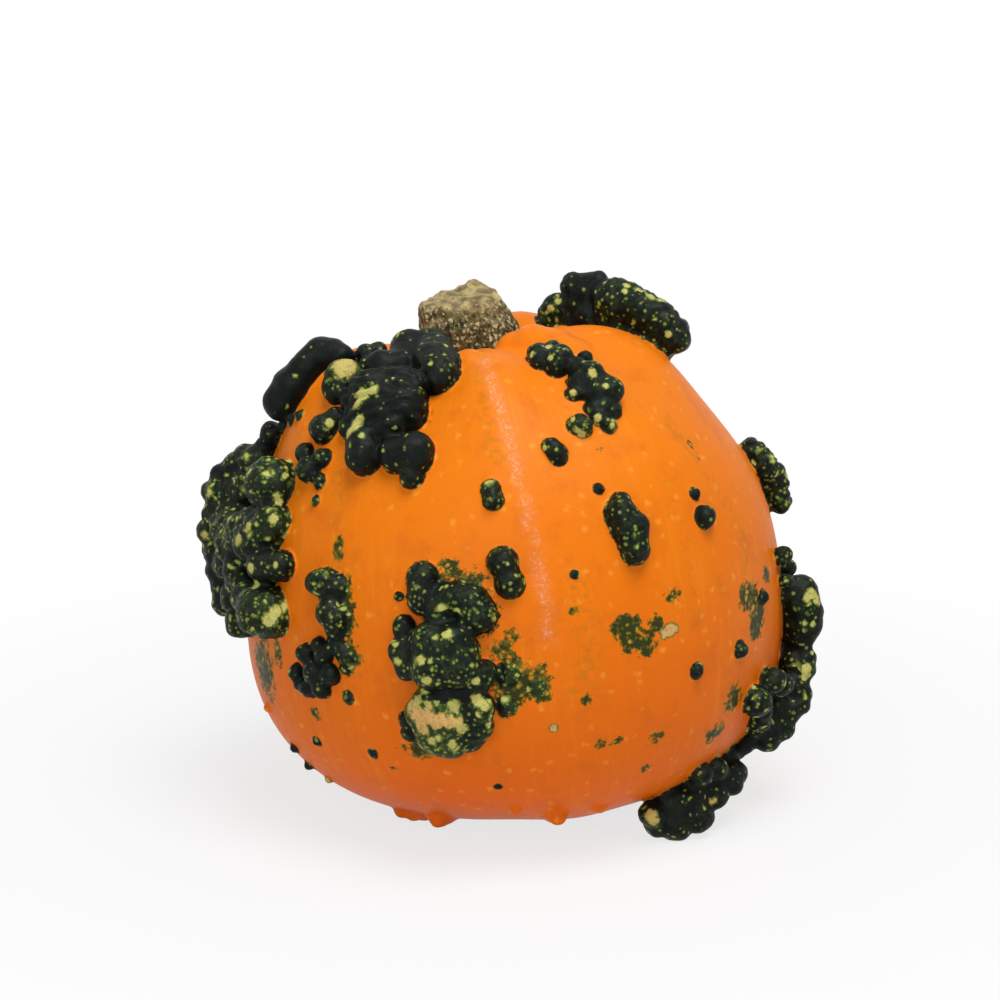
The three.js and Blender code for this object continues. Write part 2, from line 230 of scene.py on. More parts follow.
        (-63, 25, 3.8), (-62, 22, 4.2), (-62, 18, 3.4), (-62, 27, 2.6),
    )),
    "beads": (0.3, 0, 0.1, 0.9, (
        (-42, 20, 2.6), (-42, 25, 1.3), (-50.7, -9.6, 1.8, 0.3), (-36.7, -8.8, 2, 0.3),
        (-25.9, -0.4, 1.7, 0.4), (-66, 31, 1.1), (-75.7, 15.8, 0.8, 0.1),
        (-112.4, 15.8, 0.8, 0.2),
    )),
    "ridge_head": (0.3, 0.2, 0, 0.9, (
        (20.2, 69.9, 3.6, 9.9), (11.6, 67.2, 3.3, 11.1), (14.3, 68.3, 3.5, 8.6),
        (19.3, 68.9, 3.7, 5.6), (13.7, 67.7, 3.6, 3.8), (10.1, 65.6, 3.3, 2), (18, 68, 3.6, 2),
    )),
    "ridge_base": (0.8, 0.1, 0, 0.96, (
        (30.5, 71.2, 3.7, 4.8), (34.5, 71.6, 2.4, 4.1), (22.9, 69.8, 3.3, 3),
        (29.5, 70.5, 3.2, 2.2), (30, 70, 3.4, 0.4), (32.8, 72.2, 2.5, 2.5),
        (35.9, 72.2, 2.4, 3.9), (31.3, 71.4, 2.5, 1),
    )),
    "ridge_top": (0.6, 0.15, 0, 0.93, (
        (4.4, 64, 5.4, 8.1), (2.2, 61.8, 5.5, 7.6), (0.1, 59.5, 5.5, 7), (-1, 57.1, 5.4, 6.5),
        (-2.1, 54.9, 5.1, 6.2), (-3.1, 52.9, 4.8, 5.4), (-4, 51.4, 3.9, 4.7),
        (-2, 51.9, 2.7, 7.7), (-2.6, 50.4, 2.4, 4.7), (3.8, 63.2, 4.2, 4.5),
        (1.2, 59.6, 4.2, 3.8), (-0.9, 56.2, 4, 3.3), (-2.7, 53.2, 3.6, 3.1), (6, 63, 4, 1.4),
        (4, 59, 4, 1.2), (3, 55, 4, 1), (2, 52.5, 3.4, 1),
    )),
    "right_oval": (0.8, 0.15, 0, 0.96, (
        (1.1, 26, 2.5, 2.4), (1.3, 23.7, 3, 3), (0.2, 21.6, 3.3, 3.4), (2.1, 18.9, 3.5, 3.8),
        (3.3, 16.4, 3.6, 4), (4.2, 14.3, 3.4, 4), (4.7, 12.5, 3.2, 3.8), (2.1, 12.1, 2.6, 3.6),
        (3, 22, 3, 1), (4.4, 17, 3.2, 1.2), (5, 14, 3, 1.4),
    )),
    "right_nub": (0.6, 0.1, 0, 0.95, (
        (-13.1, 4.9, 2.3, 1.8), (-8.7, 1.3, 2.2, 2), (-13, -0.4, 1.9, 2),
    )),
    "right_chain": (0.5, 0.1, 0, 0.97, (
        (-6.2, -4.4, 4.4, 5), (-6.6, -8, 4.4, 5.6), (-6.8, -11.2, 4.2, 5.8),
        (-7, -13.4, 3.6, 5.2), (-7, -4.2, 4, 2.2), (-5, -9, 3.8, 2.4), (-4, -13, 3.2, 2),
    )),
    "right_beads": (0.9, 0.1, 0, 0, (
        (-7.9, -17, 2.8, 6.6), (-8.6, -19.6, 3.1, 6.8), (-8, -18.2, 3.2, 4),
        (-10.1, -23.4, 3, 7.4), (-5, -17.6, 3, 1.8), (-6.5, -21, 3.4, 3.4),
    )),
    "right_knot": (0.55, 0.1, 0, 0, (
        (-24, -18.5, 3.3, 2.6), (-29.6, -21.8, 3.8, 2), (-9.6, -22.8, 3.8, 5),
        (-10.7, -25.7, 3.1, 7.5), (-11.5, -27.3, 3.7, 5.9), (-13.2, -30.6, 3.8, 5.9),
        (-15.1, -33.5, 3.4, 5.1), (-17.3, -32, 2.7, 1.6), (-22.9, -28.3, 3, 2.2),
        (-18, -20.6, 3.2, 3.2), (-13, -27, 3.8, 2.2), (-16, -31, 3.4, 2), (-24, -25.4, 2.8, 1.8),
    )),
    "right_link": (0.7, 0.1, 0, 0, (
        (-17.6, -36.2, 2.3, 2.2), (-18.9, -37.8, 2.1, 1.8), (-21, -39.4, 2.2, 1.2),
        (-22.5, -38.8, 3, 0.6), (-22, -40.6, 3, 1.6),
    )),
    "right_foot": (0.5, 0.1, 0, 0, (
        (-35.1, -37.7, 3.1, 2.2), (-41.4, -37.6, 2.9, 1.8), (-24.3, -40.6, 3.4, 5.2),
        (-27.1, -41.7, 3.1, 6.7), (-30, -41.3, 3.8, 2.2), (-31.7, -42.6, 3.4, 1.8),
        (-37.4, -40.4, 3, 1.2),
    )),
    "right_toe": (0.5, 0.1, 0, 0, (
        (-39.5, -46.5, 4.7, 4.6), (-33.1, -43.9, 3.6, 6.6), (-45.1, -49.7, 4.4, 5.9),
        (-49.2, -51, 3.7, 6.2), (-45.1, -49.6, 4.1, 8.3), (-39.5, -46.9, 4, 8.8),
        (-34, -43.8, 3.4, 4), (-38, -45, 4.2, 2.4), (-44, -47, 4.4, 3), (-33, -43, 3.2, 1.4),
        (-52, -48.6, 3.4, 4.4),
    )),
    "specks": (0.1, 0, 0.2, 0.9, (
        (-140, -15.2, 1.1, 0.2), (-124.6, -17, 1.1, 0.2), (-98.4, -27.7, 0.7, 0.1),
        (-152.8, -18.8, 1.2, 0.2), (-153, -24.1, 1.5, 0.4),
    )),
    "back_crest": (0.3, 0.5, 0, 0.95, (
        (76, 57, 4, 0.6), (77, 54, 5.2, 2.6), (81, 49, 5.6, 2.6), (76, 44, 5), (83, 40, 4.8),
        (88, 46, 4.2), (86, 34, 3.2), (70, 50, 3),
    )),
    "back_heap": (0.8, 0.8, 0, 0.92, (
        (122, 22, 5), (129, 17, 5.8, 2.6), (119, 12, 6, 2.6), (131, 9, 5.6, 2.4),
        (124, 4, 6.4, 3), (134, 0, 4.8), (126, -6, 5.2), (117, -2, 4.2), (115, 20, 3),
        (138, 7, 3.2), (121, -12, 3),
    )),
    "back_oval": (0.6, 0.3, 0, 0.96, ((50, 14, 4.4), (49, 8, 4.6), (52, 2, 3.4), (44, 11, 2.6))),
    "back_row": (0.4, 0.5, 0, 0.9, ((38, 33, 3.2), (33, 29, 3.8), (34, 24, 3), (29, 35, 2.2))),
    "back_low": (0.5, 0.6, 0.5, 0.92, (
        (76, -11, 4), (81, -15, 5), (77, -20, 4.6), (85, -24, 4.2), (88, -17, 3),
    )),
    "back_feet": (0.3, 0.5, 0.2, 0.9, (
        (121, -41, 4.8, 2.5), (115, -43, 4.4, 1.4), (128, -36, 3.8, 1.4), (65, -48, 4.6, 1.6),
        (59, -46, 4, 1.2), (66, -41, 3.4, 1),
    )),
    "back_beads": (0.4, 0.2, 0.2, 0.9, (
        (100, 36, 2.6), (107, 31, 1.9), (61, 30, 2.7), (150, 41, 3), (147, 36, 2.5),
        (153, 2, 2.4), (100, 9, 2.2), (63, -7, 2), (148, -16, 2.6), (153, -20, 1.8),
        (104, -24, 2.1), (28, -16, 2.6), (24, -22, 1.8), (36, 4, 1.9), (140, 58, 2.8),
        (134, 54, 2.2), (95, 62, 2.4), (20, 12, 2.2),
    )),
}

# Nubs and swellings of the rind itself, which stay orange, given as lobes are.
NUBS = (
    (-124, -44, 4.4, -2.4), (-123, -43, 3.1, -0.4), (-122.5, -42.4, 2, 1.2), (-132, -44, 3.6, -2),
    (-135.4, -44, 2.2, 0), (-138.7, -42.5, 2.1, 0), (-85, -43, 4.2, -2.6), (-85, -42, 2.8, -0.4),
    (-85, -41.4, 2.1, 1), (-96, -37.5, 1.4, 0.3), (-73.5, -41.3, 1.2, 0.2), (-72, -42, 2.6, -1.4),
    (-158, -10.2, 1.3, 0.2), (-148.3, -27.4, 1.2, 0.3), (62, 70.5, 14, -11), (72, 71.5, 10, -5.6),
    (52, 66, 12, -10.5), (-55.4, 75.1, 5.6, -2.1), (-47.5, 72.2, 6.7, -2.5),
    (-43.9, 68.6, 8.5, -5.1), (-41.5, 65, 11, -9.4), (-93.8, 66.5, 4.3, -2),
)

# Flat green patches in the rind, with no wart: longitude, latitude, half width, half height,
# and how much of the patch is green.
GREEN_PATCHES = (
    (-155.1, -1, 4.2, 5.2, 1.3), (-147.1, 3.5, 1.4, 2.6, 1.2), (-66.9, 3.8, 2.4, 1.8, 1.5),
    (-65.8, 0.6, 2.2, 2, 1.5), (-63.2, -1.3, 2, 1.6, 1.4), (-32.6, 1.2, 2.6, 2.6, 1.3),
    (-34, 2.4, 1.6, 1.8, 1), (-28.5, -4.3, 2.3, 3, 1.5), (-29.3, -5.8, 1.8, 2.6, 1.5),
    (-29.5, 0.2, 2, 2.6, 1.3), (-21.9, 3.4, 2, 2, 1), (-92.2, 3.5, 3.4, 3, 0.8),
    (-90.7, 0.8, 2.2, 2, 0.9), (-90, 6, 1.8, 1.8, 0.8), (-101.1, 20.6, 2.4, 2, 1.2),
    (-96.5, 17.7, 2.4, 2, 1.2), (-86.4, 5.5, 0.7, 0.6, 1.2), (-75.5, 4.4, 0.7, 0.6, 1.2),
    (-77.7, 9, 1.5, 1.3, 0.8), (-76.9, -9.5, 1.9, 1.7, 0.8), (-37.9, -19.7, 2.6, 3, 1.2),
    (-42.7, -26.1, 3.6, 2, 1.1), (-90.5, -4, 4.6, 4, 1.1), (-85.9, -4.6, 2, 3.2, 1.4),
    (-100, 17, 8, 3, 0.8), (-125, 13, 2, 6, 1.1), (-124.4, 4, 2, 3, 1.1),
    (-127.5, 25.1, 1.3, 2, 1.2), (-74.4, -19.8, 1.4, 1, 1.2), (-70.9, -19.9, 1, 1, 1.2),
    (-61.4, -21.9, 1.6, 1.3, 1.2), (-63, -29.4, 1.8, 1.4, 0.9), (-112.9, -16.2, 4, 2, 1.1),
    (-55.4, 7.4, 1.8, 1, 1.3), (-59.8, 2.6, 1.4, 1.2, 1.5), (110, -12, 6, 5, 1),
    (70, 12, 4, 7, 1), (150, 20, 5, 7, 1), (90, -5, 3, 2.5, 1.2), (20, -2, 5, 4, 1),
    (-62.3, 38.6, 0.8, 1.4, 1.2), (-34.3, 34.6, 1, 1.2, 1.2), (-34.8, 31.2, 0.8, 0.8, 1.2),
    (-137.2, -8.4, 1.7, 1.5, 1), (-121.5, -21.1, 1, 0.7, 1.2),
)

# Where the skin is dry and pale: longitude, latitude, height above the rind, radius, and how
# tan it is between lime yellow and cork.
CORK_PATCHES = (
    (-136.9, 58.2, 6, 3.7, 0.35), (-120.6, 52.8, 9, 1.7, 0), (-123.6, 51.9, 7.8, 2.2, 0.05),
    (-124.8, 50.3, 7.7, 1.8, 0.1), (-124.4, 46.9, 6.2, 2.2, 0.1), (-125.4, 45.8, 6, 1.9, 0.15),
    (-123.6, 47.9, 6, 1.6, 0), (-136.1, 48.4, 2.7, 1.3, 0.1), (-110.7, -4.9, 5.1, 1.8, 0.6),
    (-109.3, -6.1, 6.2, 2.4, 1), (-108.5, -8.3, 6, 2.2, 1), (-106.8, -6.7, 6.6, 2.1, 1),
    (-104.8, -7.1, 7.7, 1.9, 1), (-103.2, -7.5, 7.7, 1.8, 0.9), (-101.8, -8.2, 6.9, 1.6, 0.6),
    (-108.2, -9.3, 6.4, 1.6, 0.8), (-105.8, -7.6, 7.5, 1.8, 0.9), (-109.1, -3.6, 5.7, 1.4, 0),
    (-107.1, -4.3, 6, 1.1, 0), (-102.3, -5.3, 5.7, 1.8, 0.05), (-97.8, -4.8, 4.8, 1.7, 0.15),
    (-96.5, -6, 5, 1.5, 0.05), (-101.3, -9.7, 6.1, 1.5, 0), (-107.2, -11.1, 7.1, 1.3, 0),
    (-103.7, -12.4, 6.7, 1.5, 0), (-97, -10.2, 3.6, 1.3, 0), (-101.3, 8.3, 7, 1.5, 0),
    (-112, 3.8, 5.8, 1.3, 0), (-106.4, 4.2, 8.4, 1.4, 0), (-105.9, 0.4, 8.6, 1.4, 0),
    (-107.6, -2.2, 4.2, 1.5, 0), (-97.7, -0.8, 5.4, 1.3, 0), (-9.2, -4.1, 7.4, 1.7, 0.05),
    (-8.1, -5.6, 8.5, 1.7, 0.1), (-9.7, -5, 6.2, 1.3, 0), (-7, -13, 8.6, 1.5, 0.1),
    (-10.9, -18.5, 7.4, 1.5, 0.05), (-11.1, -20.1, 7.6, 1.3, 0), (-31, -24.2, 3.2, 0.9, 0),
    (-37.2, -42.8, 7.9, 1.4, 1), (-55.5, -46.6, 6.4, 2.2, 0.5), (-55.3, -46.4, 4.5, 1.8, 0.5),
    (-150.8, 26.6, 7.7, 1.9, 0), (-153.4, 24.1, 7.7, 1.7, 0), (-144.9, 29.2, 4.5, 1.5, 0),
    (-146.4, 33.4, 3.4, 1.6, 0), (-147.2, 19.7, 6.8, 1.4, 0.05), (-142.7, 10.8, 4.8, 2.1, 0),
    (-142.3, 12.3, 3.3, 1.8, 0), (-171.7, 21.6, 11.6, 1.9, 0.1), (-171.7, 29.3, 13, 1.8, 0.1),
    (-148, 16.7, 4.9, 1.4, 0), (-146.8, 37.8, 2.7, 1.1, 0), (-147.6, 32.8, 2.3, 1.1, 0),
    (-137.6, 0.1, 3.4, 1.4, 0), (-148.3, -27.4, 0.8, 1.4, 0.8), (-57.9, 0.4, 0, 1.9, 1.1),
    (-56.2, 0.6, 0, 1.8, 1.1), (-84.2, -14.1, 0, 1.3, 1), (-1.5, 63.1, 11.6, 1.3, 0),
    (-2.5, 60.7, 11.3, 1.5, 0), (-3.9, 58.8, 10.7, 1.6, 0), (-3.5, 56.8, 10.9, 1.5, 0),
    (-1.9, 54.8, 11.2, 1.3, 0), (-4.3, 63.1, 9.6, 1, 0), (-62.8, 50.5, 1.9, 1.1, 0.3),
    (-59.9, 44, 1.8, 1.1, 0.3), (-57.2, 41.6, 1.9, 1, 0), (-65.5, 41.9, 1, 1.2, 0.4),
    (-66.8, 42.8, 1.4, 1, 0), (-66.8, 44.8, 2.3, 0.9, 0), (-76, 40.4, 1.2, 0.9, 0.3),
    (-59.4, 62.6, 2.8, 1.2, 0), (-67.4, 62.1, 2.6, 1, 0), (-55, 48.4, 4.5, 0.9, 0),
    (-63.9, 58.9, 3.8, 1, 0), (-56.1, 51.7, 4.7, 1.2, 0.2), (23.3, 72.3, 6.4, 1.1, 0),
    (25.2, 73.5, 5, 1.2, 0.3), (-9, 53.2, 4.5, 1.1, 0),
)

# The rough pale streak down the front rib, and fine olive lines: points of longitude and
# latitude, then half width.
PALE_STREAK = ((-87, 66), (-86, 57), (-84, 44), (-83, 28), (-82.5, 12), (-82.7, 4))
PALE_STREAK_WIDTH = 1.3
OLIVE_LINES = (
    (((-88, 72), (-89, 56), (-87.5, 40)), 2.2),
    (((-132, 48), (-130, 38), (-127, 22), (-126, 14)), 1.6),
    (((-38, 40), (-36, 33), (-30, 15), (-31, 2)), 1.6),
    (((-49, 30), (-49, 12), (-50, 0)), 1.4),
    (((-76, 14), (-75, 2), (-78, -8)), 3.6),
    (((95, 60), (99, 20), (104, -10)), 1.8),
    (((10, 48), (12, 30), (14, 10)), 1.6),
    (((150, 55), (152, 30)), 1.6),
)

# How the lobes of a wart meet: nearer than this share of their radii, with filling balls at
# these shares of the way between them.
MEETING = 0.95
JOIN_SHARES = (1 / 3, 2 / 3)

# Relief of the warts: width of the creases between lobes, the creases between swellings, the
# swellings themselves, and the wrinkles that ring the longest warts. A bend is how many turns
# it shifts the wrinkles and over what distance. The relief fades out at the edge of a wart.
WART_EDGE = 1.2
CREASE_WIDTH = 0.9
PILLOW_SPACING = 4.4
PILLOW_WIDTH = 0.55
PILLOW_DEPTH = 1.7
PILLOW_BEND = 0.3
PILLOW_BEND_PACE = 1.3
LUMP_SPACING = 5.0
LUMP_HEIGHT = 0.6
WRINKLE_SPACING = 2.7
WRINKLE_DEPTHS = {"crown_barrel": 0.8, "ridge_top": 0.3, "right_oval": 0.45}
WRINKLE_BENDS = ((0.9, 6.0), (0.25, 2.5))
WRINKLE_REACH = 1.0
FAINT = 0.03

# How far past a wart or a line its effect is worked out, and depths that count as far off.
WART_REACH = 6
LINE_REACH = 9
LINE_STEPS = 12
FAR_OUTSIDE = -12.0
OFF_PATCH = -3.0
FAR_AWAY = 99.0

# The colour of a wart reaches this far past its lobes, and farther where the surface stands
# clear of the rind or lies in a crease, where its near-black is painted shade. Creases count
# only this deep below the surface.
COVER_MARGIN = 0.4
STANDS_CLEAR = (0.4, 1.6)
COVER_WHERE_CLEAR = 0.5
CREASE_SHADE_COVER = 0.9
CREASE_GAIN = 3
CREASE_LEVEL = -3

# How finely the pieces are made: subdivisions, distances in millimetres, rounds of smoothing
# and the number of triangles.
RANDOM_SEED = 7
GLOBE_DETAIL = 7
BALL_UNEVENNESS = 0.03
LARGE_BALL = 2
FINE_GRID = 0.5
FRUIT_ROUNDS = 6
KNEADED_ROUNDS = 2
FRUIT_FACES = 190000
CRUMB_EDGE = 1e-4
STEM_GRID = 0.35
STEM_ROUNDS = 4
STEM_SIDES = 72

# The stem: half widths at heights above the bottom of the hollow, in to the middle of its top.
STEM_PROFILE = (
    (-3, 9.4), (0, 9.8), (2, 10.4), (4, 10.8), (6, 10.8), (8.5, 10.4), (10.5, 9.9), (12.5, 9.4),
    (13.6, 8.9), (14.1, 8), (14.1, 7.2), (14.1, 6.4), (14, 5.6), (14, 4.6), (13.9, 3.4), (13.8, 2),
)
STEM_TOP = 14.1
STEM_OFFSET_LEFT = 1.2
STEM_LEAN_LEFT = 0.22
STEM_TOP_SLOPE_LEFT = 0.12
STEM_TOP_SLOPE_FRONT = 0.05
# Its lobes: direction, rise of the half width at the top and at the foot, spread.
STEM_LOBES = (
    (-163, 0.15, 0.03, 22), (-112, 0.06, 0.1, 20), (-52, 0.06, 0.2, 20), (12, 0.0, 0.24, 18),
    (56, 0.12, 0.1, 20), (128, -0.02, -0.05, 24),
)
STEM_LOBE_LEVEL = 0.05
# The knob on the cut top: direction, distance from the middle, height, spread.
STEM_KNOB = (66, 7.4, 2.0, 2.9)
# Its roughness.
KNOB_SPACING = 3.4
KNOB_HEIGHT = 0.5
FURROW_SPACING = np.array((2.2, 2.2, 12.0))
FURROW_DEPTH = 0.7
# Its rim, which carries a painted highlight: how far below the top it lies, how far to the left
# the top's middle is, how steep its surface is and how far from that it may be, and how far
# down it reaches.
STEM_RIM_DROP = 1.5
STEM_TOP_SHIFT = 3
STEM_RIM_SLOPE = 0.3
STEM_RIM_SPREAD = 0.25
STEM_RIM_REACH = 3
# Its side is green where it is as steep as this, and greener lower down and at the right.
STEM_STEEP = (0.2, 0.75)
STEM_LOWER = (-1, 9)
STEM_GREEN_RIGHT = 0.35
STEM_GREEN_TOP = 0.6


def axis_turn():
    """Turns directions on the fruit's own globe to directions in the frame."""
    back = Matrix.Rotation(math.radians(-AXIS_LEAN_BACK), 3, "X")
    left = Matrix.Rotation(math.radians(-AXIS_LEAN_LEFT), 3, "Y")
    return np.array(back @ left)


TURN = axis_turn()
CENTRE = np.array(FRUIT_CENTRE)


def bell(distance, spread):
    return np.exp(-((distance / spread) ** 2))


def smooth_step(low, high, value):
    share = np.clip((value - low) / (high - low), 0, 1)
    return share * share * (3 - 2 * share)


def wrap_degrees(angle):
    return (angle + 180) % 360 - 180


def directions(longitude, latitude):
    east, north = np.radians(longitude), np.radians(latitude)
    own = np.stack([np.cos(north) * np.cos(east), np.cos(north) * np.sin(east), np.sin(north)], -1)
    return own @ TURN.T


def globe_places(points):
    """Longitude, latitude and distance from the fruit's centre of points in millimetres."""
    own = (points - CENTRE) @ TURN
    reach = np.linalg.norm(own, axis=-1)
    longitude = np.degrees(np.arctan2(own[..., 1], own[..., 0]))
    latitude = np.degrees(np.arcsin(np.clip(own[..., 2] / reach, -1, 1)))
    return longitude, latitude, reach


def rind_radius(longitude, latitude):
    direction = directions(longitude, latitude)
    above = direction[..., 2] > 0
    reach = np.where(above, HEIGHT_ABOVE, DEPTH_BELOW)
    fullness = np.where(above, FULLNESS_ABOVE, FULLNESS_BELOW)
    outward = np.hypot(direction[..., 0], direction[..., 1]) / WIDEST_RADIUS
    upward = np.abs(direction[..., 2]) / reach
    plain = (outward ** fullness + upward ** fullness) ** (-1 / fullness)
    from_stem, from_blossom = 90 - latitude, 90 + latitude
    ribs = sum(
        height * bell(wrap_degrees(longitude - rib + RIB_DRIFT * latitude / 90), width)
        for rib, height, width in RIBS
    )
    shoulder = RIB_SHOULDER_RISE * bell(from_stem - RIB_SHOULDER, RIB_SHOULDER_SPREAD)
    ends = np.clip(from_stem / RIB_FADE_STEM, 0, 1)
    ends = ends * np.clip(from_blossom / RIB_FADE_BLOSSOM, 0, 1)
    hollow = HOLLOW_DEPTH * bell(from_stem, HOLLOW_SPREAD)
    button = BUTTON_RISE * bell(from_blossom, BUTTON_SPREAD)
    flat = FLAT_DEPTH * bell(wrap_degrees(longitude - FLAT_LONGITUDE), FLAT_SPREAD_ROUND)
    flat = flat * bell(latitude - FLAT_LATITUDE, FLAT_SPREAD_ALONG)
    ribbed = 1 + (RIB_RISE + shoulder) * ends * (ribs - RIB_LEVEL)
    return plain * (1 - hollow + button - flat) * ribbed


def point_on_fruit(longitude, latitude, height=0.0):
    longitude, latitude = np.float64(longitude), np.float64(latitude)
    reach = rind_radius(longitude, latitude) + height
    return CENTRE + directions(longitude, latitude) * reach[..., None]


def lobe_ball(lobe):
    """Centre and radius of a lobe."""
    longitude, latitude, radius = lobe[:3]
    stand = lobe[3] if len(lobe) > 3 else LOBE_STAND * radius
    return point_on_fruit(longitude, latitude, stand), radius


def wart_balls(merge, lobes):
    """The lobes of a wart, and between those that meet the balls that fill its valleys."""
    balls = [lobe_ball(lobe) for lobe in lobes]
    joins = []
    if merge > 0:
        for (centre, radius), (other, other_radius) in itertools.combinations(balls, 2):
            if np.linalg.norm(centre - other) < MEETING * (radius + other_radius):
                joins += [(
                    centre + (other - centre) * share,
                    merge * (radius + (other_radius - radius) * share),
                ) for share in JOIN_SHARES]
    return balls + joins


def new_piece(name, shape):
    mesh = bpy.data.meshes.new(name)
    shape.to_mesh(mesh)
    shape.free()
    piece = bpy.data.objects.new(name, mesh)
    bpy.context.scene.collection.objects.link(piece)
    return piece


def apply_modifiers(piece):
    evaluated = piece.evaluated_get(bpy.context.evaluated_depsgraph_get())
    plain = piece.data
    piece.data = bpy.data.meshes.new_from_object(evaluated)
    piece.modifiers.clear()
    bpy.data.meshes.remove(plain)


def vertex_points(mesh):
    points = np.empty(len(mesh.vertices) * 3)
    mesh.vertices.foreach_get("co", points)
    return points.reshape(-1, 3) / MM


def place_vertices(mesh, points):
    mesh.vertices.foreach_set("co", (points * MM).ravel())
    mesh.update()


def vertex_normals(mesh):
    normals = np.empty(len(mesh.vertices) * 3)
    mesh.vertex_normals.foreach_get("vector", normals)
    return normals.reshape(-1, 3)


def store(mesh, name, values):
    """Keeps a number or a vector for each vertex, for a material to read."""
    kind, field = ("FLOAT", "value") if values.ndim == 1 else ("FLOAT_VECTOR", "vector")
    kept = mesh.attributes.new(name, kind, "POINT")
    kept.data.foreach_set(field, values.astype(np.float32).ravel())


def shade_smooth(mesh):
    mesh.polygons.foreach_set("use_smooth", np.ones(len(mesh.polygons), dtype=bool))
    mesh.update()


# ---- fruit ----

def rind_globe():
    """The rind without warts."""
    shape = bmesh.new()
    bmesh.ops.create_icosphere(shape, subdivisions=GLOBE_DETAIL, radius=1)
    own = np.array([vertex.co for vertex in shape.verts])
    longitude = np.degrees(np.arctan2(own[:, 1], own[:, 0]))
    latitude = np.degrees(np.arcsin(np.clip(own[:, 2], -1, 1)))
    for vertex, place in zip(shape.verts, point_on_fruit(longitude, latitude) * MM):
        vertex.co = place
    return shape


def add_balls(shape, balls, chance):
    """Adds slightly uneven balls to a shape."""
    heap = bmesh.new()
    for centre, radius in balls:
        low, high = 1 - BALL_UNEVENNESS, 1 + BALL_UNEVENNESS
        stretch = Matrix.Diagonal([chance.uniform(low, high) for _ in range(3)]).to_4x4()
        angle = chance.uniform(0, math.pi)
        turn = Matrix.Rotation(angle, 4, Vector((1, chance.random(), 1)).normalized())
        place = Matrix.Translation(centre * MM) @ turn @ stretch
        detail = 3 if radius > LARGE_BALL else 2
        bmesh.ops.create_icosphere(heap, subdivisions=detail, radius=radius * MM, matrix=place)
    loose = bpy.data.meshes.new("heap")
    heap.to_mesh(loose)
    heap.free()
    shape.from_mesh(loose)
    bpy.data.meshes.remove(loose)


def wart_field(points):
    """How deep inside a wart each point is in millimetres, how far it lies in a crease between
    lobes, from 0 to 1, and how spotted, creased and frayed its nearest wart is.
    """
    depth = np.full(len(points), FAR_OUTSIDE)
    values = np.zeros((len(points), 3))
    total = np.full(len(points), 1e-9)
    pull = np.zeros((len(points), 3))
    for spots, creases, fray, merge, lobes in WARTS.values():
        balls = wart_balls(merge, lobes)
        low = np.min([centre - radius for centre, radius in balls], axis=0) - WART_REACH
        high = np.max([centre + radius for centre, radius in balls], axis=0) + WART_REACH
        near = np.where(((points > low) & (points < high)).all(axis=1))[0]
        inside = np.full(len(near), FAR_OUTSIDE)
        for centre, radius in balls:
            apart = points[near] - centre
            away = np.linalg.norm(apart, axis=1)
            inside = np.maximum(inside, radius - away)
            weight = np.exp((radius - away) / CREASE_WIDTH)
            total[near] += weight
            pull[near] += apart * (weight / away)[:, None]
        better = inside > depth[near]
        depth[near[better]] = inside[better]
        values[near[better]] = (spots, creases, fray)
    return depth, 1 - np.linalg.norm(pull, axis=1) / total, values


def pillow_depths(points, strength):
    """Depths of the creases between round swellings, in millimetres."""
    depths = np.zeros(len(points))
    for index in np.where(strength > FAINT)[0]:
        place = Vector(points[index] / PILLOW_SPACING)
        place += PILLOW_BEND * noise.noise_vector(place * PILLOW_BEND_PACE)
        first, second = noise.voronoi(place)[0][:2]
        depths[index] = max(0.0, 1 - (second - first) / PILLOW_WIDTH)
    return depths ** 2 * strength * PILLOW_DEPTH


def wrinkle_depths(points):
    """Depths of the wrinkles that ring the longest warts, in millimetres."""
    depths = np.zeros(len(points))
    for name, deepest in WRINKLE_DEPTHS.items():
        *_, lobes = WARTS[name]
        balls = wart_balls(0, lobes)
        along = balls[0][0] + balls[1][0] - balls[2][0] - balls[3][0]
        along /= np.linalg.norm(along)
        inside = np.full(len(points), FAR_OUTSIDE)
        for centre, radius in balls:
            inside = np.maximum(inside, radius - np.linalg.norm(points - centre, axis=1))
        for index in np.where(inside > -WRINKLE_REACH)[0]:
            bent = sum(
                reach * noise.noise(Vector(points[index] / size)) for reach, size in WRINKLE_BENDS
            )
            turns = points[index] @ along / WRINKLE_SPACING + bent
            depths[index] = deepest * (0.5 + 0.5 * math.cos(2 * math.pi * turns)) ** 2
    return depths


def lump_heights(points, strength):
    """Uneven swellings, in millimetres."""
    heights = np.zeros(len(points))
    for index in np.where(strength > FAINT)[0]:
        heights[index] = noise.noise(Vector(points[index] / LUMP_SPACING))
    return heights * strength * LUMP_HEIGHT


def knead_warts(mesh):
    """Gives the warts their lumps, creases and wrinkles."""
    noise.seed_set(RANDOM_SEED)
    points = vertex_points(mesh)
    depth, _, values = wart_field(points)
    wart = smooth_step(-WART_EDGE, 0.0, depth)
    rise = lump_heights(points, wart) - pillow_depths(points, wart * values[:, 1])
    rise -= wrinkle_depths(points)
    place_vertices(mesh, points + vertex_normals(mesh) * rise[:, None])


def flatten_underside(mesh):
    """Presses what reaches below the floor flat on it."""
    points = vertex_points(mesh)
    points[:, 2] = np.maximum(points[:, 2], 0)
    place_vertices(mesh, points)


def line_distance(points, line):
    """Millimetres along the rind from points to a line of longitudes and latitudes."""
    steps = np.array([
        point_on_fruit(a[0] + (b[0] - a[0]) * t, a[1] + (b[1] - a[1]) * t)
        for a, b in zip(line, line[1:]) for t in np.linspace(0, 1, LINE_STEPS)
    ])
    low, high = steps.min(axis=0) - LINE_REACH, steps.max(axis=0) + LINE_REACH
    distance = np.full(len(points), FAR_AWAY)
    near = np.where(((points > low) & (points < high)).all(axis=1))[0]
    for step in steps:
        distance[near] = np.minimum(distance[near], np.linalg.norm(points[near] - step, axis=1))
    return distance


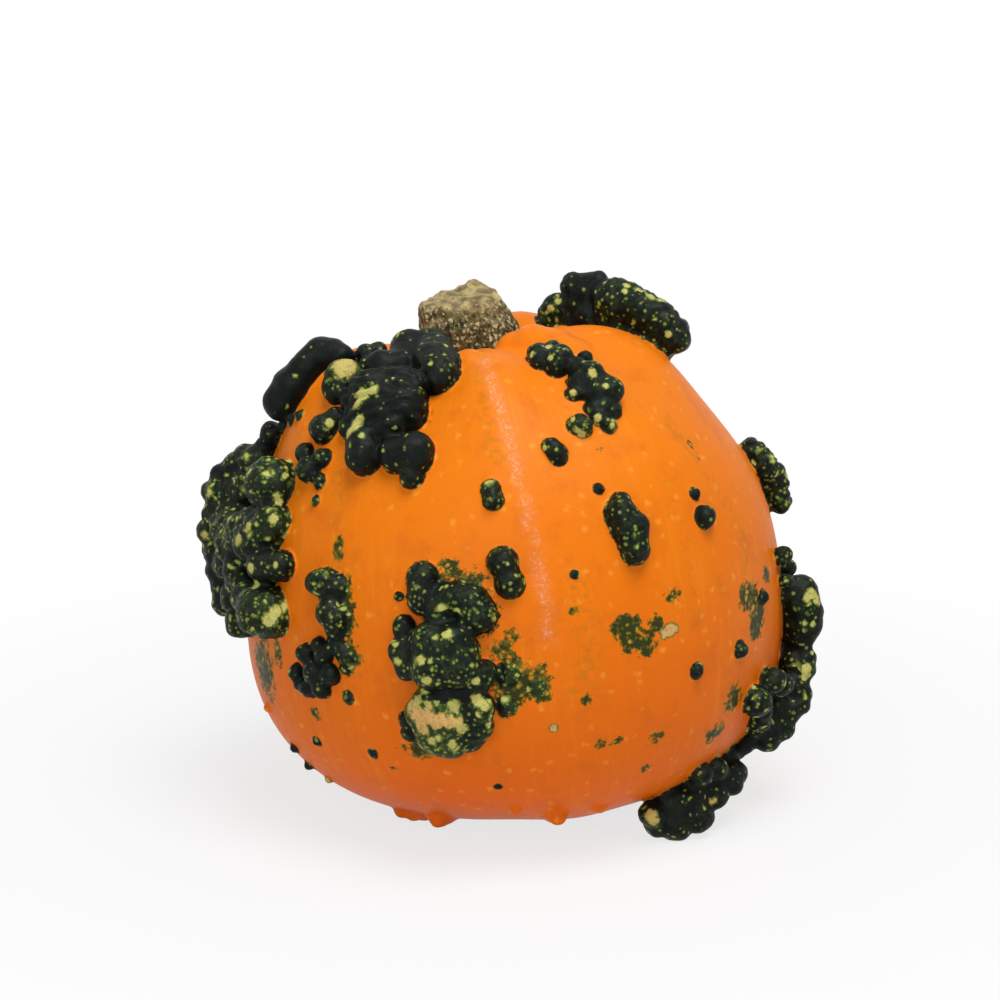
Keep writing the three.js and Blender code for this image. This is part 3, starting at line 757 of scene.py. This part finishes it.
def patch_field(longitude, latitude, patches):
    """How full the patches are at each place: below 0 outside them."""
    field = np.full(len(longitude), OFF_PATCH)
    for east, north, half_width, half_height, fullness in patches:
        across = wrap_degrees(longitude - east) / half_width
        upward = (latitude - north) / half_height
        field = np.maximum(field, fullness - np.hypot(across, upward))
    return field


def ball_field(points, patches):
    """1 in the middle of each ball-shaped patch and 0 at its rim, and how tan the patch is."""
    field = np.full(len(points), OFF_PATCH)
    kind = np.zeros(len(points))
    for longitude, latitude, height, radius, tan in patches:
        away = np.linalg.norm(points - point_on_fruit(longitude, latitude, height), axis=1)
        nearer = 1 - away / radius > field
        field = np.where(nearer, 1 - away / radius, field)
        kind = np.where(nearer, tan, kind)
    return field, kind


def paint_fruit(mesh):
    """Stores what the rind's material needs to know at each vertex: how far inside a wart's
    colour it is, which reaches farther into creases as painted shade, its crease, its wart's
    values, and the patches, streaks and lines.
    """
    points = vertex_points(mesh)
    longitude, latitude, reach = globe_places(points)
    depth, crease, values = wart_field(points)
    crease = np.where(depth > CREASE_LEVEL, crease, 0)
    clear = smooth_step(*STANDS_CLEAR, reach - rind_radius(longitude, latitude))
    pale, tan = ball_field(points, CORK_PATCHES)
    olive = np.zeros(len(points))
    for line, width in OLIVE_LINES:
        olive = np.maximum(olive, bell(line_distance(points, line), width))
    # Creases take the wart's near-black a little farther out: painted shade.
    creased = np.minimum(CREASE_SHADE_COVER, CREASE_GAIN * crease)
    cover = depth + COVER_MARGIN + clear * (COVER_WHERE_CLEAR + creased)
    store(mesh, "cover", np.clip(cover, -6, 3))
    # The crease, which the material uses to keep spots out of creases as painted shade.
    store(mesh, "crease", np.clip(CREASE_GAIN * crease, 0, 1))
    store(mesh, "spotted", values[:, 0])
    store(mesh, "fray", values[:, 2])
    store(mesh, "patch", np.clip(patch_field(longitude, latitude, GREEN_PATCHES), -1, 1))
    store(mesh, "cork", np.clip(pale, -1, 1))
    store(mesh, "tan", tan)
    store(mesh, "streak", bell(line_distance(points, PALE_STREAK), PALE_STREAK_WIDTH))
    store(mesh, "olive", olive)
    east, north = np.radians(longitude), np.radians(latitude)
    store(mesh, "grain", np.stack([np.cos(east), np.sin(east), north], -1))


def grow_together(piece, grid):
    """Joins all that overlaps into one closed surface, on a grid in millimetres."""
    grown = piece.modifiers.new("Grown together", "REMESH")
    grown.mode = "VOXEL"
    grown.voxel_size = grid * MM
    apply_modifiers(piece)


def ease(piece, rounds):
    """Smooths away the steps of the grid."""
    eased = piece.modifiers.new("Eased", "SMOOTH")
    eased.factor = 0.5
    eased.iterations = rounds
    apply_modifiers(piece)


def thin_out(piece, faces):
    """Leaves about so many triangles."""
    triangles = sum(len(face.vertices) - 2 for face in piece.data.polygons)
    thinner = piece.modifiers.new("Thinner", "DECIMATE")
    thinner.ratio = min(1.0, faces / triangles)
    apply_modifiers(piece)


def drop_crumbs(mesh):
    """Removes faces without area and all loose parts but the largest."""
    shape = bmesh.new()
    shape.from_mesh(mesh)
    bmesh.ops.dissolve_degenerate(shape, dist=CRUMB_EDGE * MM, edges=shape.edges)
    unseen = set(shape.verts)
    parts = []
    while unseen:
        front = [unseen.pop()]
        part = []
        while front:
            vertex = front.pop()
            part.append(vertex)
            for edge in vertex.link_edges:
                other = edge.other_vert(vertex)
                if other in unseen:
                    unseen.remove(other)
                    front.append(other)
        parts.append(part)
    parts.sort(key=len)
    for part in parts[:-1]:
        bmesh.ops.delete(shape, geom=part, context="VERTS")
    shape.to_mesh(mesh)
    shape.free()


def make_fruit():
    chance = random.Random(RANDOM_SEED)
    shape = rind_globe()
    for _, _, _, merge, lobes in WARTS.values():
        add_balls(shape, wart_balls(merge, lobes), chance)
    add_balls(shape, [lobe_ball(nub) for nub in NUBS], chance)
    piece = new_piece("fruit_skin", shape)
    grow_together(piece, FINE_GRID * (1))
    ease(piece, FRUIT_ROUNDS)
    knead_warts(piece.data)
    ease(piece, KNEADED_ROUNDS)
    thin_out(piece, FRUIT_FACES)
    flatten_underside(piece.data)
    drop_crumbs(piece.data)
    paint_fruit(piece.data)
    shade_smooth(piece.data)
    return piece


# ---- stem ----

def stem_place(point):
    """Moves a point of the straight round stub to its place on the lobed, leaning one."""
    x, y, level = point
    angle = math.degrees(math.atan2(y, x))
    upward = smooth_step(0, STEM_TOP, level)
    lobed = 1 - STEM_LOBE_LEVEL
    for direction, top_rise, foot_rise, spread in STEM_LOBES:
        rise = foot_rise + (top_rise - foot_rise) * upward
        lobed += rise * bell(wrap_degrees(angle - direction), spread)
    x, y = x * lobed, y * lobed
    direction, reach, rise, spread = STEM_KNOB
    toward = math.radians(direction)
    away = math.hypot(x - reach * math.cos(toward), y - reach * math.sin(toward))
    knob = rise * bell(away, spread)
    sloped = max(0.0, level) / STEM_TOP
    z = level + sloped * (STEM_TOP_SLOPE_LEFT * x + STEM_TOP_SLOPE_FRONT * y + knob)
    lean = STEM_OFFSET_LEFT + STEM_LEAN_LEFT * max(0.0, level)
    foot = point_on_fruit(0, 90)
    return Vector((foot[0] + x - lean, foot[1] + y, foot[2] + z))


def make_stem():
    shape = bmesh.new()
    level, width = STEM_PROFILE[0]
    place = Matrix.Translation((0, 0, level))
    bmesh.ops.create_circle(
        shape, cap_ends=True, segments=STEM_SIDES, radius=width, matrix=place)
    face = shape.faces[:][0]
    for (low, low_width), (high, high_width) in zip(STEM_PROFILE, STEM_PROFILE[1:]):
        face = bmesh.ops.extrude_discrete_faces(shape, faces=[face])["faces"][0]
        bmesh.ops.translate(shape, verts=face.verts[:], vec=(0, 0, high - low))
        share = high_width / low_width
        bmesh.ops.scale(shape, verts=face.verts[:], vec=(share, share, 1))
    bmesh.ops.holes_fill(shape, edges=[edge for edge in shape.edges if edge.is_boundary])
    bmesh.ops.recalc_face_normals(shape, faces=shape.faces[:])
    for vertex in shape.verts:
        vertex.co = stem_place(vertex.co) * MM
    piece = new_piece("stem_stub", shape)
    grow_together(piece, STEM_GRID)
    ease(piece, STEM_ROUNDS)
    roughen_stem(piece.data)
    shade_smooth(piece.data)
    return piece


def roughen_stem(mesh):
    """Swells the stub into knobs and furrows; stores its side and its rim's painted highlight."""
    points = vertex_points(mesh)
    normals = vertex_normals(mesh)
    for index, point in enumerate(points):
        knobs = noise.fractal(Vector(point / KNOB_SPACING), 1.0, 2.0, 3)
        furrows = noise.noise(Vector(point / FURROW_SPACING))
        points[index] = point + normals[index] * (KNOB_HEIGHT * knobs + FURROW_DEPTH * furrows)
    place_vertices(mesh, points)
    foot = point_on_fruit(0, 90)
    across = points - foot
    top = STEM_TOP - STEM_RIM_DROP + STEM_TOP_SLOPE_LEFT * (across[:, 0] + STEM_TOP_SHIFT)
    top = top + STEM_TOP_SLOPE_FRONT * across[:, 1]
    down = top - across[:, 2]
    slope = 1 - normals[:, 2]
    lower = smooth_step(*STEM_LOWER, down + STEM_GREEN_RIGHT * across[:, 0])
    green = STEM_GREEN_TOP + (1 - STEM_GREEN_TOP) * lower
    store(mesh, "side", smooth_step(*STEM_STEEP, slope) * green)
    # Where the painted highlight on the rim of the top goes.
    rim = bell(slope - STEM_RIM_SLOPE, STEM_RIM_SPREAD) * smooth_step(STEM_RIM_REACH, 0, down)
    store(mesh, "rim", rim)


# ---- materials ----

# Colours that aren't among the add-on's own, as red, green, blue and opacity.
FIBRE_ORANGE = (0.9, 0.3, 0.03, 1)
BLOTCH_ORANGE = (0.6, 0.12, 0.008, 1)
FLECK_ORANGE = (0.92, 0.4, 0.05, 1)
LINE_OLIVE = (0.3, 0.15, 0.008, 1)
STREAK_PINK = (0.85, 0.46, 0.3, 1)
MOTTLE_GREEN = (0.03, 0.05, 0.012, 1)
RING_DARK = (0.014, 0.024, 0.008, 1)
RING_GREEN = (0.04, 0.075, 0.014, 1)
RING_LIME = (0.17, 0.2, 0.03, 1)
THIN_OLIVE = (0.2, 0.12, 0.008, 1)
DEEP_OLIVE = (0.03, 0.036, 0.006, 1)
DOT_OCHRE = (0.5, 0.32, 0.03, 1)
PATCH_RIM_GREEN = (0.09, 0.12, 0.018, 1)
DRY_TAN = (0.64, 0.38, 0.13, 1)
GRIME_BROWN = (0.24, 0.16, 0.035, 1)
CUT_BROWN = (0.17, 0.12, 0.06, 1)
STEM_DARK = (0.015, 0.019, 0.006, 1)
STEM_OLIVE = (0.15, 0.11, 0.035, 1)
STEM_DOT_CREAM = (0.6, 0.54, 0.3, 1)
STEM_RIM_HIGHLIGHT = (0.66, 0.54, 0.22, 1)
FLOOR_GREY = (0.75, 0.75, 0.75, 1)
WHITE = (1, 1, 1, 1)


class Nodes:
    """Adds shader nodes to a material or the world and joins them."""

    def __init__(self, owner):
        owner.use_nodes = True
        self.tree = owner.node_tree
        self.tree.nodes.clear()

    def add(self, kind, inputs=None, **settings):
        node = self.tree.nodes.new(kind)
        for name, value in settings.items():
            setattr(node, name, value)
        for name, value in (inputs or {}).items():
            self.feed(node.inputs[name], value)
        return node

    def feed(self, socket, value):
        if isinstance(value, bpy.types.NodeSocket):
            self.tree.links.new(value, socket)
        else:
            socket.default_value = value

    def attribute(self, name, output="Fac"):
        return self.add("ShaderNodeAttribute", attribute_name=name).outputs[output]

    def math(self, operation, *values):
        node = self.add("ShaderNodeMath", operation=operation)
        for index, value in enumerate(values):
            self.feed(node.inputs[index], value)
        return node.outputs[0]

    def times(self, first, second):
        return self.math("MULTIPLY", first, second)

    def plus(self, first, second):
        return self.math("ADD", first, second)

    def larger(self, first, second):
        return self.math("MAXIMUM", first, second)

    def ramp(self, value, low, high, smooth=True):
        node = self.add("ShaderNodeMapRange", {"Value": value, "From Min": low, "From Max": high})
        node.interpolation_type = "SMOOTHSTEP" if smooth else "LINEAR"
        return node.outputs[0]

    def mix(self, share, first, second):
        node = self.add("ShaderNodeMix", data_type="RGBA")
        self.feed(node.inputs["Factor"], share)
        self.feed(node.inputs[6], first)
        self.feed(node.inputs[7], second)
        return node.outputs[2]

    def stops(self, value, *colours):
        """A colour ramp through (position, colour) stops."""
        node = self.add("ShaderNodeValToRGB", {"Fac": value})
        band = node.color_ramp.elements
        for index, (position, colour) in enumerate(colours):
            stop = band[index] if index < 2 else band.new(position)
            stop.position, stop.color = position, colour
        return node.outputs["Color"]

    def noise(self, vector, size, detail=2.0, roughness=0.5, output="Fac"):
        """Smooth noise with swellings of about the given size in millimetres."""
        return self.add("ShaderNodeTexNoise", {
            "Vector": vector, "Scale": 1 / (size * MM), "Detail": detail, "Roughness": roughness,
        }).outputs[output]

    def vector(self, operation, first, second=None, scale=None):
        node = self.add("ShaderNodeVectorMath", operation=operation)
        self.feed(node.inputs[0], first)
        if second is not None:
            self.feed(node.inputs[1], second)
        if scale is not None:
            self.feed(node.inputs["Scale"], scale)
        return node.outputs[0]

    def bent(self, place, size, reach):
        """The place moved about by up to half the reach, both in millimetres."""
        shift = self.vector("SUBTRACT", self.noise(place, size, 1, 0.5, "Color"), (0.5, 0.5, 0.5))
        return self.vector("ADD", place, self.vector("SCALE", shift, scale=reach * 2 * MM))

    def spots(self, place, size, biggest, crowd):
        """0 outside and 1 well inside round spots, in that share of the cells of that size."""
        cell = self.add("ShaderNodeTexVoronoi", {"Vector": place, "Scale": 1 / (size * MM)})
        chance = self.add("ShaderNodeSeparateColor", {"Color": cell.outputs["Color"]}).outputs
        there = self.ramp(self.plus(chance[1], crowd), 0.98, 1.02)
        share = self.plus(0.45, self.times(chance[0], 0.55))
        radius = self.times(self.times(there, biggest), share)
        inside = self.math("SUBTRACT", radius, cell.outputs["Distance"])
        return self.times(there, self.ramp(inside, -0.17, 0.14, False))


def skin_colour(nodes, place, look):
    """Orange of the rind, with its streaks, flecks, olive lines and pale streak."""
    grain = nodes.attribute("grain", "Vector")
    height = nodes.add("ShaderNodeSeparateXYZ", {"Vector": place}).outputs["Z"]
    broad = nodes.noise(place, 30, 2)
    tone = nodes.ramp(nodes.plus(height, nodes.times(broad, 0.05)), 0.02, 0.13)
    colour = nodes.mix(tone, tuple(look.low_orange), tuple(look.high_orange))
    lines = nodes.add("ShaderNodeMapping", {"Vector": grain, "Scale": (45, 45, 3.5)}).outputs[0]
    threads = {"Vector": lines, "Scale": 1.0, "Detail": 3.0}
    fibres = nodes.add("ShaderNodeTexNoise", threads).outputs["Fac"]
    fibres = nodes.times(nodes.ramp(fibres, 0.45, 0.8), nodes.ramp(broad, 0.35, 0.65))
    colour = nodes.mix(nodes.times(fibres, 0.25), colour, FIBRE_ORANGE)
    blotch = nodes.noise(place, 7, 4, 0.6)
    blotches = nodes.times(nodes.ramp(blotch, 0.48, 0.72), 0.4)
    colour = nodes.mix(blotches, colour, BLOTCH_ORANGE)
    flecks = nodes.spots(nodes.bent(place, 1.5, 0.8), 3.4, 0.17, 0.5)
    colour = nodes.mix(nodes.times(flecks, 0.55), colour, FLECK_ORANGE)
    fine = nodes.noise(place, 1.6, 3, 0.6)
    olive = nodes.times(nodes.attribute("olive"), nodes.ramp(fine, 0.42, 0.66))
    colour = nodes.mix(nodes.times(olive, 0.4), colour, LINE_OLIVE)
    crackle = nodes.plus(nodes.ramp(nodes.noise(place, 0.8, 3, 0.7), 0.5, 0.62), 0.25)
    broken = nodes.plus(nodes.ramp(nodes.noise(place, 6, 2), 0.4, 0.6), 0.25)
    streak = nodes.times(nodes.attribute("streak"), nodes.times(crackle, broken))
    return nodes.mix(nodes.times(streak, 0.5), colour, STREAK_PINK)


def wart_colour(nodes, place, crowd, look):
    """Near-black green, with lime-yellow spots in greener rings."""
    mottle = nodes.noise(place, 1.6, 4, 0.65)
    greener = nodes.times(nodes.ramp(mottle, 0.42, 0.72), crowd)
    greener = nodes.larger(greener, nodes.ramp(crowd, 0.7, 1.5))
    ground = nodes.mix(greener, tuple(look.wart_green), MOTTLE_GREEN)
    bent = nodes.bent(place, 2.2, 1.0)
    most = nodes.math("SUBTRACT", crowd, 0.4)
    large = nodes.spots(bent, 3.6, 0.4, most)
    middling = nodes.spots(bent, 1.95, 0.4, nodes.times(crowd, 0.6))
    middling = nodes.times(middling, 0.9)
    small = nodes.spots(place, 1.1, 0.44, nodes.times(crowd, 0.7))
    small = nodes.times(small, 0.7)
    spots = nodes.larger(large, nodes.larger(middling, small))
    rings = nodes.stops(
        spots, (0.0, RING_DARK), (1.0, tuple(look.spot_yellow)),
        (0.35, RING_GREEN), (0.66, RING_LIME))
    return nodes.mix(nodes.ramp(spots, 0.0, 0.3), ground, rings), spots


def rind_material(look):
    """Waxy orange skin, green patches fraying out from the warts, and dry cork."""
    material = bpy.data.materials.new("waxy_rind_with_warts")
    nodes = Nodes(material)
    place = nodes.add("ShaderNodeTexCoord").outputs["Object"]
    cover = nodes.attribute("cover")
    rim = nodes.math("SUBTRACT", 1.0, nodes.ramp(cover, 0.2, 1.3))
    spotted = nodes.attribute("spotted")
    crowd = nodes.larger(spotted, nodes.times(rim, nodes.plus(0.25, spotted)))
    # Fewer spots in the creases, which stay near-black: painted shade.
    outside_crease_shade = nodes.math("SUBTRACT", 1.0, nodes.times(nodes.attribute("crease"), 0.8))
    crowd = nodes.times(crowd, outside_crease_shade)
    wart, spots = wart_colour(nodes, place, crowd, look)
    edge = nodes.math("SUBTRACT", nodes.noise(place, 1.0, 4, 0.65), 0.5)
    fray = nodes.attribute("fray")
    torn = nodes.plus(0.5, nodes.times(fray, 3.0))
    solid = nodes.ramp(nodes.plus(cover, nodes.times(edge, torn)), -0.2, 0.2)
    speckle = nodes.math("SUBTRACT", nodes.noise(place, 1.2, 4, 0.7), 0.45)
    frayed = nodes.plus(cover, nodes.times(speckle, nodes.times(fray, 12.0)))
    near = nodes.ramp(nodes.plus(cover, nodes.times(fray, 3.5)), -0.6, 0.6)
    dapple = nodes.times(nodes.math("SUBTRACT", nodes.noise(place, 1.6, 5, 0.65), 0.5), 3.4)
    patch = nodes.plus(nodes.attribute("patch"), dapple)
    thin = nodes.larger(nodes.times(frayed, near), patch)
    olive = nodes.mix(nodes.ramp(thin, 0.1, 0.55), THIN_OLIVE, DEEP_OLIVE)
    dots = nodes.spots(nodes.bent(place, 1.5, 0.7), 1.7, 0.38, nodes.attribute("patch"))
    dots = nodes.larger(dots, nodes.times(spots, 0.3))
    olive = nodes.mix(dots, olive, DOT_OCHRE)
    colour = nodes.mix(nodes.ramp(thin, -0.03, 0.22), skin_colour(nodes, place, look), olive)
    colour = nodes.mix(solid, colour, wart)
    ragged = nodes.times(nodes.math("SUBTRACT", nodes.noise(place, 1.3, 4, 0.7), 0.5), 1.3)
    dryness = nodes.plus(nodes.attribute("cork"), ragged)
    colour = nodes.mix(nodes.ramp(dryness, -0.1, 0.12), colour, PATCH_RIM_GREEN)
    cork = nodes.ramp(dryness, 0.08, 0.34)
    dry = nodes.mix(nodes.attribute("tan"), tuple(look.spot_yellow), DRY_TAN)
    grime = nodes.ramp(nodes.noise(place, 0.9, 4, 0.7), 0.42, 0.72)
    dry = nodes.mix(nodes.times(grime, 0.6), dry, GRIME_BROWN)
    colour = nodes.mix(cork, colour, dry)
    pores = nodes.noise(place, 0.9, 3, 0.6)
    pebbles = nodes.noise(place, 2.2, 3, 0.55)
    relief = nodes.plus(nodes.times(pores, 0.2), nodes.times(pebbles, nodes.times(solid, 0.9)))
    bump = nodes.add("ShaderNodeBump", {"Height": relief, "Strength": 0.5, "Distance": 0.0006})
    roughness = nodes.plus(nodes.times(cork, 0.3), nodes.plus(0.37, nodes.times(pores, 0.16)))
    surface = nodes.add("ShaderNodeBsdfPrincipled", {
        "Base Color": colour, "Roughness": roughness, "Specular IOR Level": 0.1,
        "Normal": bump.outputs[0],
    })
    nodes.add("ShaderNodeOutputMaterial", {"Surface": surface.outputs[0]})
    return material


def stem_material(look):
    """Weathered cream top with a painted highlight on its rim; olive with pale dots on the sides.
    """
    material = bpy.data.materials.new("corky_stem")
    nodes = Nodes(material)
    place = nodes.add("ShaderNodeTexCoord").outputs["Object"]
    side = nodes.attribute("side")
    mottle = nodes.noise(place, 2.4, 4, 0.6)
    cream = nodes.mix(nodes.ramp(mottle, 0.3, 0.7), CUT_BROWN, tuple(look.cork))
    shade = nodes.ramp(nodes.noise(place, 1.5, 4, 0.65), 0.35, 0.65)
    green = nodes.mix(shade, STEM_DARK, STEM_OLIVE)
    uneven = nodes.math("SUBTRACT", nodes.noise(place, 1.8, 4, 0.7), 0.5)
    share = nodes.ramp(nodes.plus(side, nodes.times(uneven, 2.2)), 0.35, 0.75)
    colour = nodes.mix(share, cream, green)
    dots = nodes.spots(nodes.bent(place, 1.2, 0.6), 1.05, 0.48, nodes.times(side, 0.95))
    colour = nodes.mix(nodes.times(dots, 0.85), colour, STEM_DOT_CREAM)
    # Painted highlight: lighter cream along the rim of the cut top.
    rim = nodes.times(nodes.attribute("rim"), nodes.ramp(mottle, 0.42, 0.62))
    colour = nodes.mix(nodes.times(rim, 0.75), colour, STEM_RIM_HIGHLIGHT)
    relief = nodes.plus(nodes.noise(place, 0.8, 4, 0.65), nodes.times(dots, 0.25))
    bump = nodes.add("ShaderNodeBump", {"Height": relief, "Strength": 0.8, "Distance": 0.0008})
    surface = nodes.add("ShaderNodeBsdfPrincipled", {
        "Base Color": colour, "Roughness": 0.78, "Specular IOR Level": 0.2,
        "Normal": bump.outputs[0],
    })
    nodes.add("ShaderNodeOutputMaterial", {"Surface": surface.outputs[0]})
    return material


def seen_by_camera(nodes):
    """1 for what the camera sees, straight or mirrored, and 0 for what lights the pumpkin."""
    rays = nodes.add("ShaderNodeLightPath").outputs
    straight = nodes.larger(rays["Is Camera Ray"], rays["Is Transmission Ray"])
    return nodes.larger(straight, rays["Is Glossy Ray"])


def floor_material():
    """White, and pure white to the camera away from the pumpkin, whose shadow it keeps."""
    material = bpy.data.materials.new("pale_floor")
    nodes = Nodes(material)
    place = nodes.add("ShaderNodeTexCoord").outputs["Object"]
    away = nodes.add("ShaderNodeVectorMath", {0: place}, operation="LENGTH").outputs["Value"]
    clear = nodes.add("ShaderNodeMapRange", {
        "Value": away, "From Min": 0.06, "From Max": 0.22, "To Min": 0.75, "To Max": 1.0,
    }).outputs[0]
    share = nodes.times(seen_by_camera(nodes), clear)
    matt = nodes.add("ShaderNodeBsdfDiffuse", {"Color": FLOOR_GREY})
    white = nodes.add("ShaderNodeEmission", {"Color": WHITE, "Strength": 1.0})
    mixed = nodes.add("ShaderNodeMixShader", {0: share, 1: matt.outputs[0], 2: white.outputs[0]})
    nodes.add("ShaderNodeOutputMaterial", {"Surface": mixed.outputs[0]})
    return material


# ---- stage ----

# Lamps: name, place, size and power, all turned to the middle of the pumpkin. Metres and watts.
LAMPS = (
    ("top_light", (0.15, -0.3, 0.9), 0.6, 7.0),
    ("front_light", (-0.3, -0.95, 0.45), 0.6, 2.6),
)
LAMP_TARGET = (0, 0, 0.06)
FLOOR_RADIUS = 3.0
FLOOR_SIDES = 96
# What the camera looks at, in millimetres from the fruit's centre.
CAMERA_AIM = (-3.5, 0, 25.5)
SENSOR_WIDTH = 36


def make_floor():
    shape = bmesh.new()
    bmesh.ops.create_circle(shape, cap_ends=True, segments=FLOOR_SIDES, radius=FLOOR_RADIUS)
    floor = new_piece("floor", shape)
    floor.data.materials.append(floor_material())
    return floor


def add_lamp(name, place, size, power):
    light = bpy.data.lights.new(name, "AREA")
    light.shape = "DISK"
    light.size = size
    light.energy = power
    lamp = bpy.data.objects.new(name, light)
    lamp.location = place
    toward = Vector(LAMP_TARGET) - Vector(place)
    lamp.rotation_euler = toward.to_track_quat("-Z", "Y").to_euler()
    bpy.context.scene.collection.objects.link(lamp)


def make_world(strength):
    """Even light from all sides, and white where the camera sees past the floor."""
    world = bpy.data.worlds.new("studio")
    bpy.context.scene.world = world
    nodes = Nodes(world)
    soft = nodes.add("ShaderNodeBackground", {"Color": WHITE, "Strength": strength})
    white = nodes.add("ShaderNodeBackground", {"Color": WHITE, "Strength": 1.0})
    mixed = nodes.add("ShaderNodeMixShader", {
        0: seen_by_camera(nodes), 1: soft.outputs[0], 2: white.outputs[0],
    })
    nodes.add("ShaderNodeOutputWorld", {"Surface": mixed.outputs[0]})


def make_camera(elevation, distance, lens):
    camera = bpy.data.cameras.new("camera")
    camera.lens = lens
    camera.sensor_width = SENSOR_WIDTH
    camera.clip_start = 0.01
    seen = bpy.data.objects.new("camera", camera)
    target = (Vector(FRUIT_CENTRE) + Vector(CAMERA_AIM)) * MM
    back = Vector((0, -math.cos(elevation), math.sin(elevation)))
    seen.location = target + back * distance
    seen.rotation_euler = (math.pi / 2 - elevation, 0, 0)
    bpy.context.scene.collection.objects.link(seen)
    bpy.context.scene.camera = seen


# ---- add-on ----

class PumpkinLook(bpy.types.PropertyGroup):
    """Colours of the rind and stem."""

    high_orange: bpy.props.FloatVectorProperty(
        name="Upper orange", description="Rind colour near the stem", subtype="COLOR", size=4,
        min=0, max=1, default=(0.8, 0.192, 0.004, 1))
    low_orange: bpy.props.FloatVectorProperty(
        name="Lower orange", description="Rind colour low on the fruit", subtype="COLOR", size=4,
        min=0, max=1, default=(0.78, 0.128, 0.002, 1))
    wart_green: bpy.props.FloatVectorProperty(
        name="Wart green", description="Ground colour of the warts", subtype="COLOR", size=4,
        min=0, max=1, default=(0.0032, 0.0052, 0.0044, 1))
    spot_yellow: bpy.props.FloatVectorProperty(
        name="Spot yellow", description="Colour of the spots on the warts", subtype="COLOR",
        size=4, min=0, max=1, default=(0.5, 0.49, 0.14, 1))
    cork: bpy.props.FloatVectorProperty(
        name="Cork", description="Pale colour of the dry stem", subtype="COLOR", size=4,
        min=0, max=1, default=(0.42, 0.33, 0.16, 1))


class PumpkinStage(bpy.types.PropertyGroup):
    """Camera and light."""

    elevation: bpy.props.FloatProperty(
        name="Elevation", description="How far the camera looks down", unit="ROTATION",
        default=math.radians(15))
    distance: bpy.props.FloatProperty(
        name="Distance", description="From the camera to the pumpkin", unit="LENGTH", default=0.7)
    lens: bpy.props.FloatProperty(
        name="Lens", description="Focal length in millimetres", default=105.84, min=20)
    sky: bpy.props.FloatProperty(
        name="Sky", description="Strength of the even light from all sides", default=0.3, min=0)


class PUMPKIN_OT_fruit(bpy.types.Operator):
    """Build the fruit's skin with its warts"""

    bl_idname = "pumpkin.fruit"
    bl_label = "Fruit"

    def execute(self, context):
        piece = make_fruit()
        piece.data.materials.clear()
        piece.data.materials.append(rind_material(context.scene.pumpkin_look))
        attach(piece, "root")
        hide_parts("fruit")
        return {"FINISHED"}


class PUMPKIN_OT_stem(bpy.types.Operator):
    """Build the corky stub of the stem"""

    bl_idname = "pumpkin.stem"
    bl_label = "Stem"

    def execute(self, context):
        piece = make_stem()
        piece.data.materials.clear()
        piece.data.materials.append(stem_material(context.scene.pumpkin_look))
        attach(piece, "root")
        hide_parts("stem")
        return {"FINISHED"}


class PUMPKIN_OT_stage(bpy.types.Operator):
    """Build the floor, lights and camera"""

    bl_idname = "pumpkin.stage"
    bl_label = "Stage"

    def execute(self, context):
        stage = context.scene.pumpkin_stage
        make_floor()
        make_world(stage.sky)
        for lamp in LAMPS:
            add_lamp(*lamp)
        make_camera(stage.elevation, stage.distance, stage.lens)
        context.scene.view_settings.view_transform = "Standard"
        return {"FINISHED"}


class PUMPKIN_PT_panel(bpy.types.Panel):
    """Colours, camera, light and steps of the pumpkin"""

    bl_label = "Pumpkin"
    bl_idname = "PUMPKIN_PT_panel"
    bl_space_type = "VIEW_3D"
    bl_region_type = "UI"
    bl_category = "Pumpkin"

    def draw(self, context):
        layout = self.layout
        for group in (context.scene.pumpkin_look, context.scene.pumpkin_stage):
            for name in group.bl_rna.properties.keys():
                if name not in {"rna_type", "name"}:
                    layout.prop(group, name)
        for step in STEPS:
            layout.operator(step.bl_idname)


GROUPS = (PumpkinLook, PumpkinStage)
STEPS = (PUMPKIN_OT_fruit, PUMPKIN_OT_stem, PUMPKIN_OT_stage)
CLASSES = GROUPS + STEPS + (PUMPKIN_PT_panel,)


def register():
    for kind in CLASSES:
        bpy.utils.register_class(kind)
    bpy.types.Scene.pumpkin_look = bpy.props.PointerProperty(type=PumpkinLook)
    bpy.types.Scene.pumpkin_stage = bpy.props.PointerProperty(type=PumpkinStage)


def unregister():
    del bpy.types.Scene.pumpkin_stage
    del bpy.types.Scene.pumpkin_look
    for kind in reversed(CLASSES):
        bpy.utils.unregister_class(kind)


def main():
    register()
    bpy.ops.pumpkin.fruit()
    bpy.ops.pumpkin.stem()
    bpy.ops.pumpkin.stage()


if __name__ == "__main__":
    main()
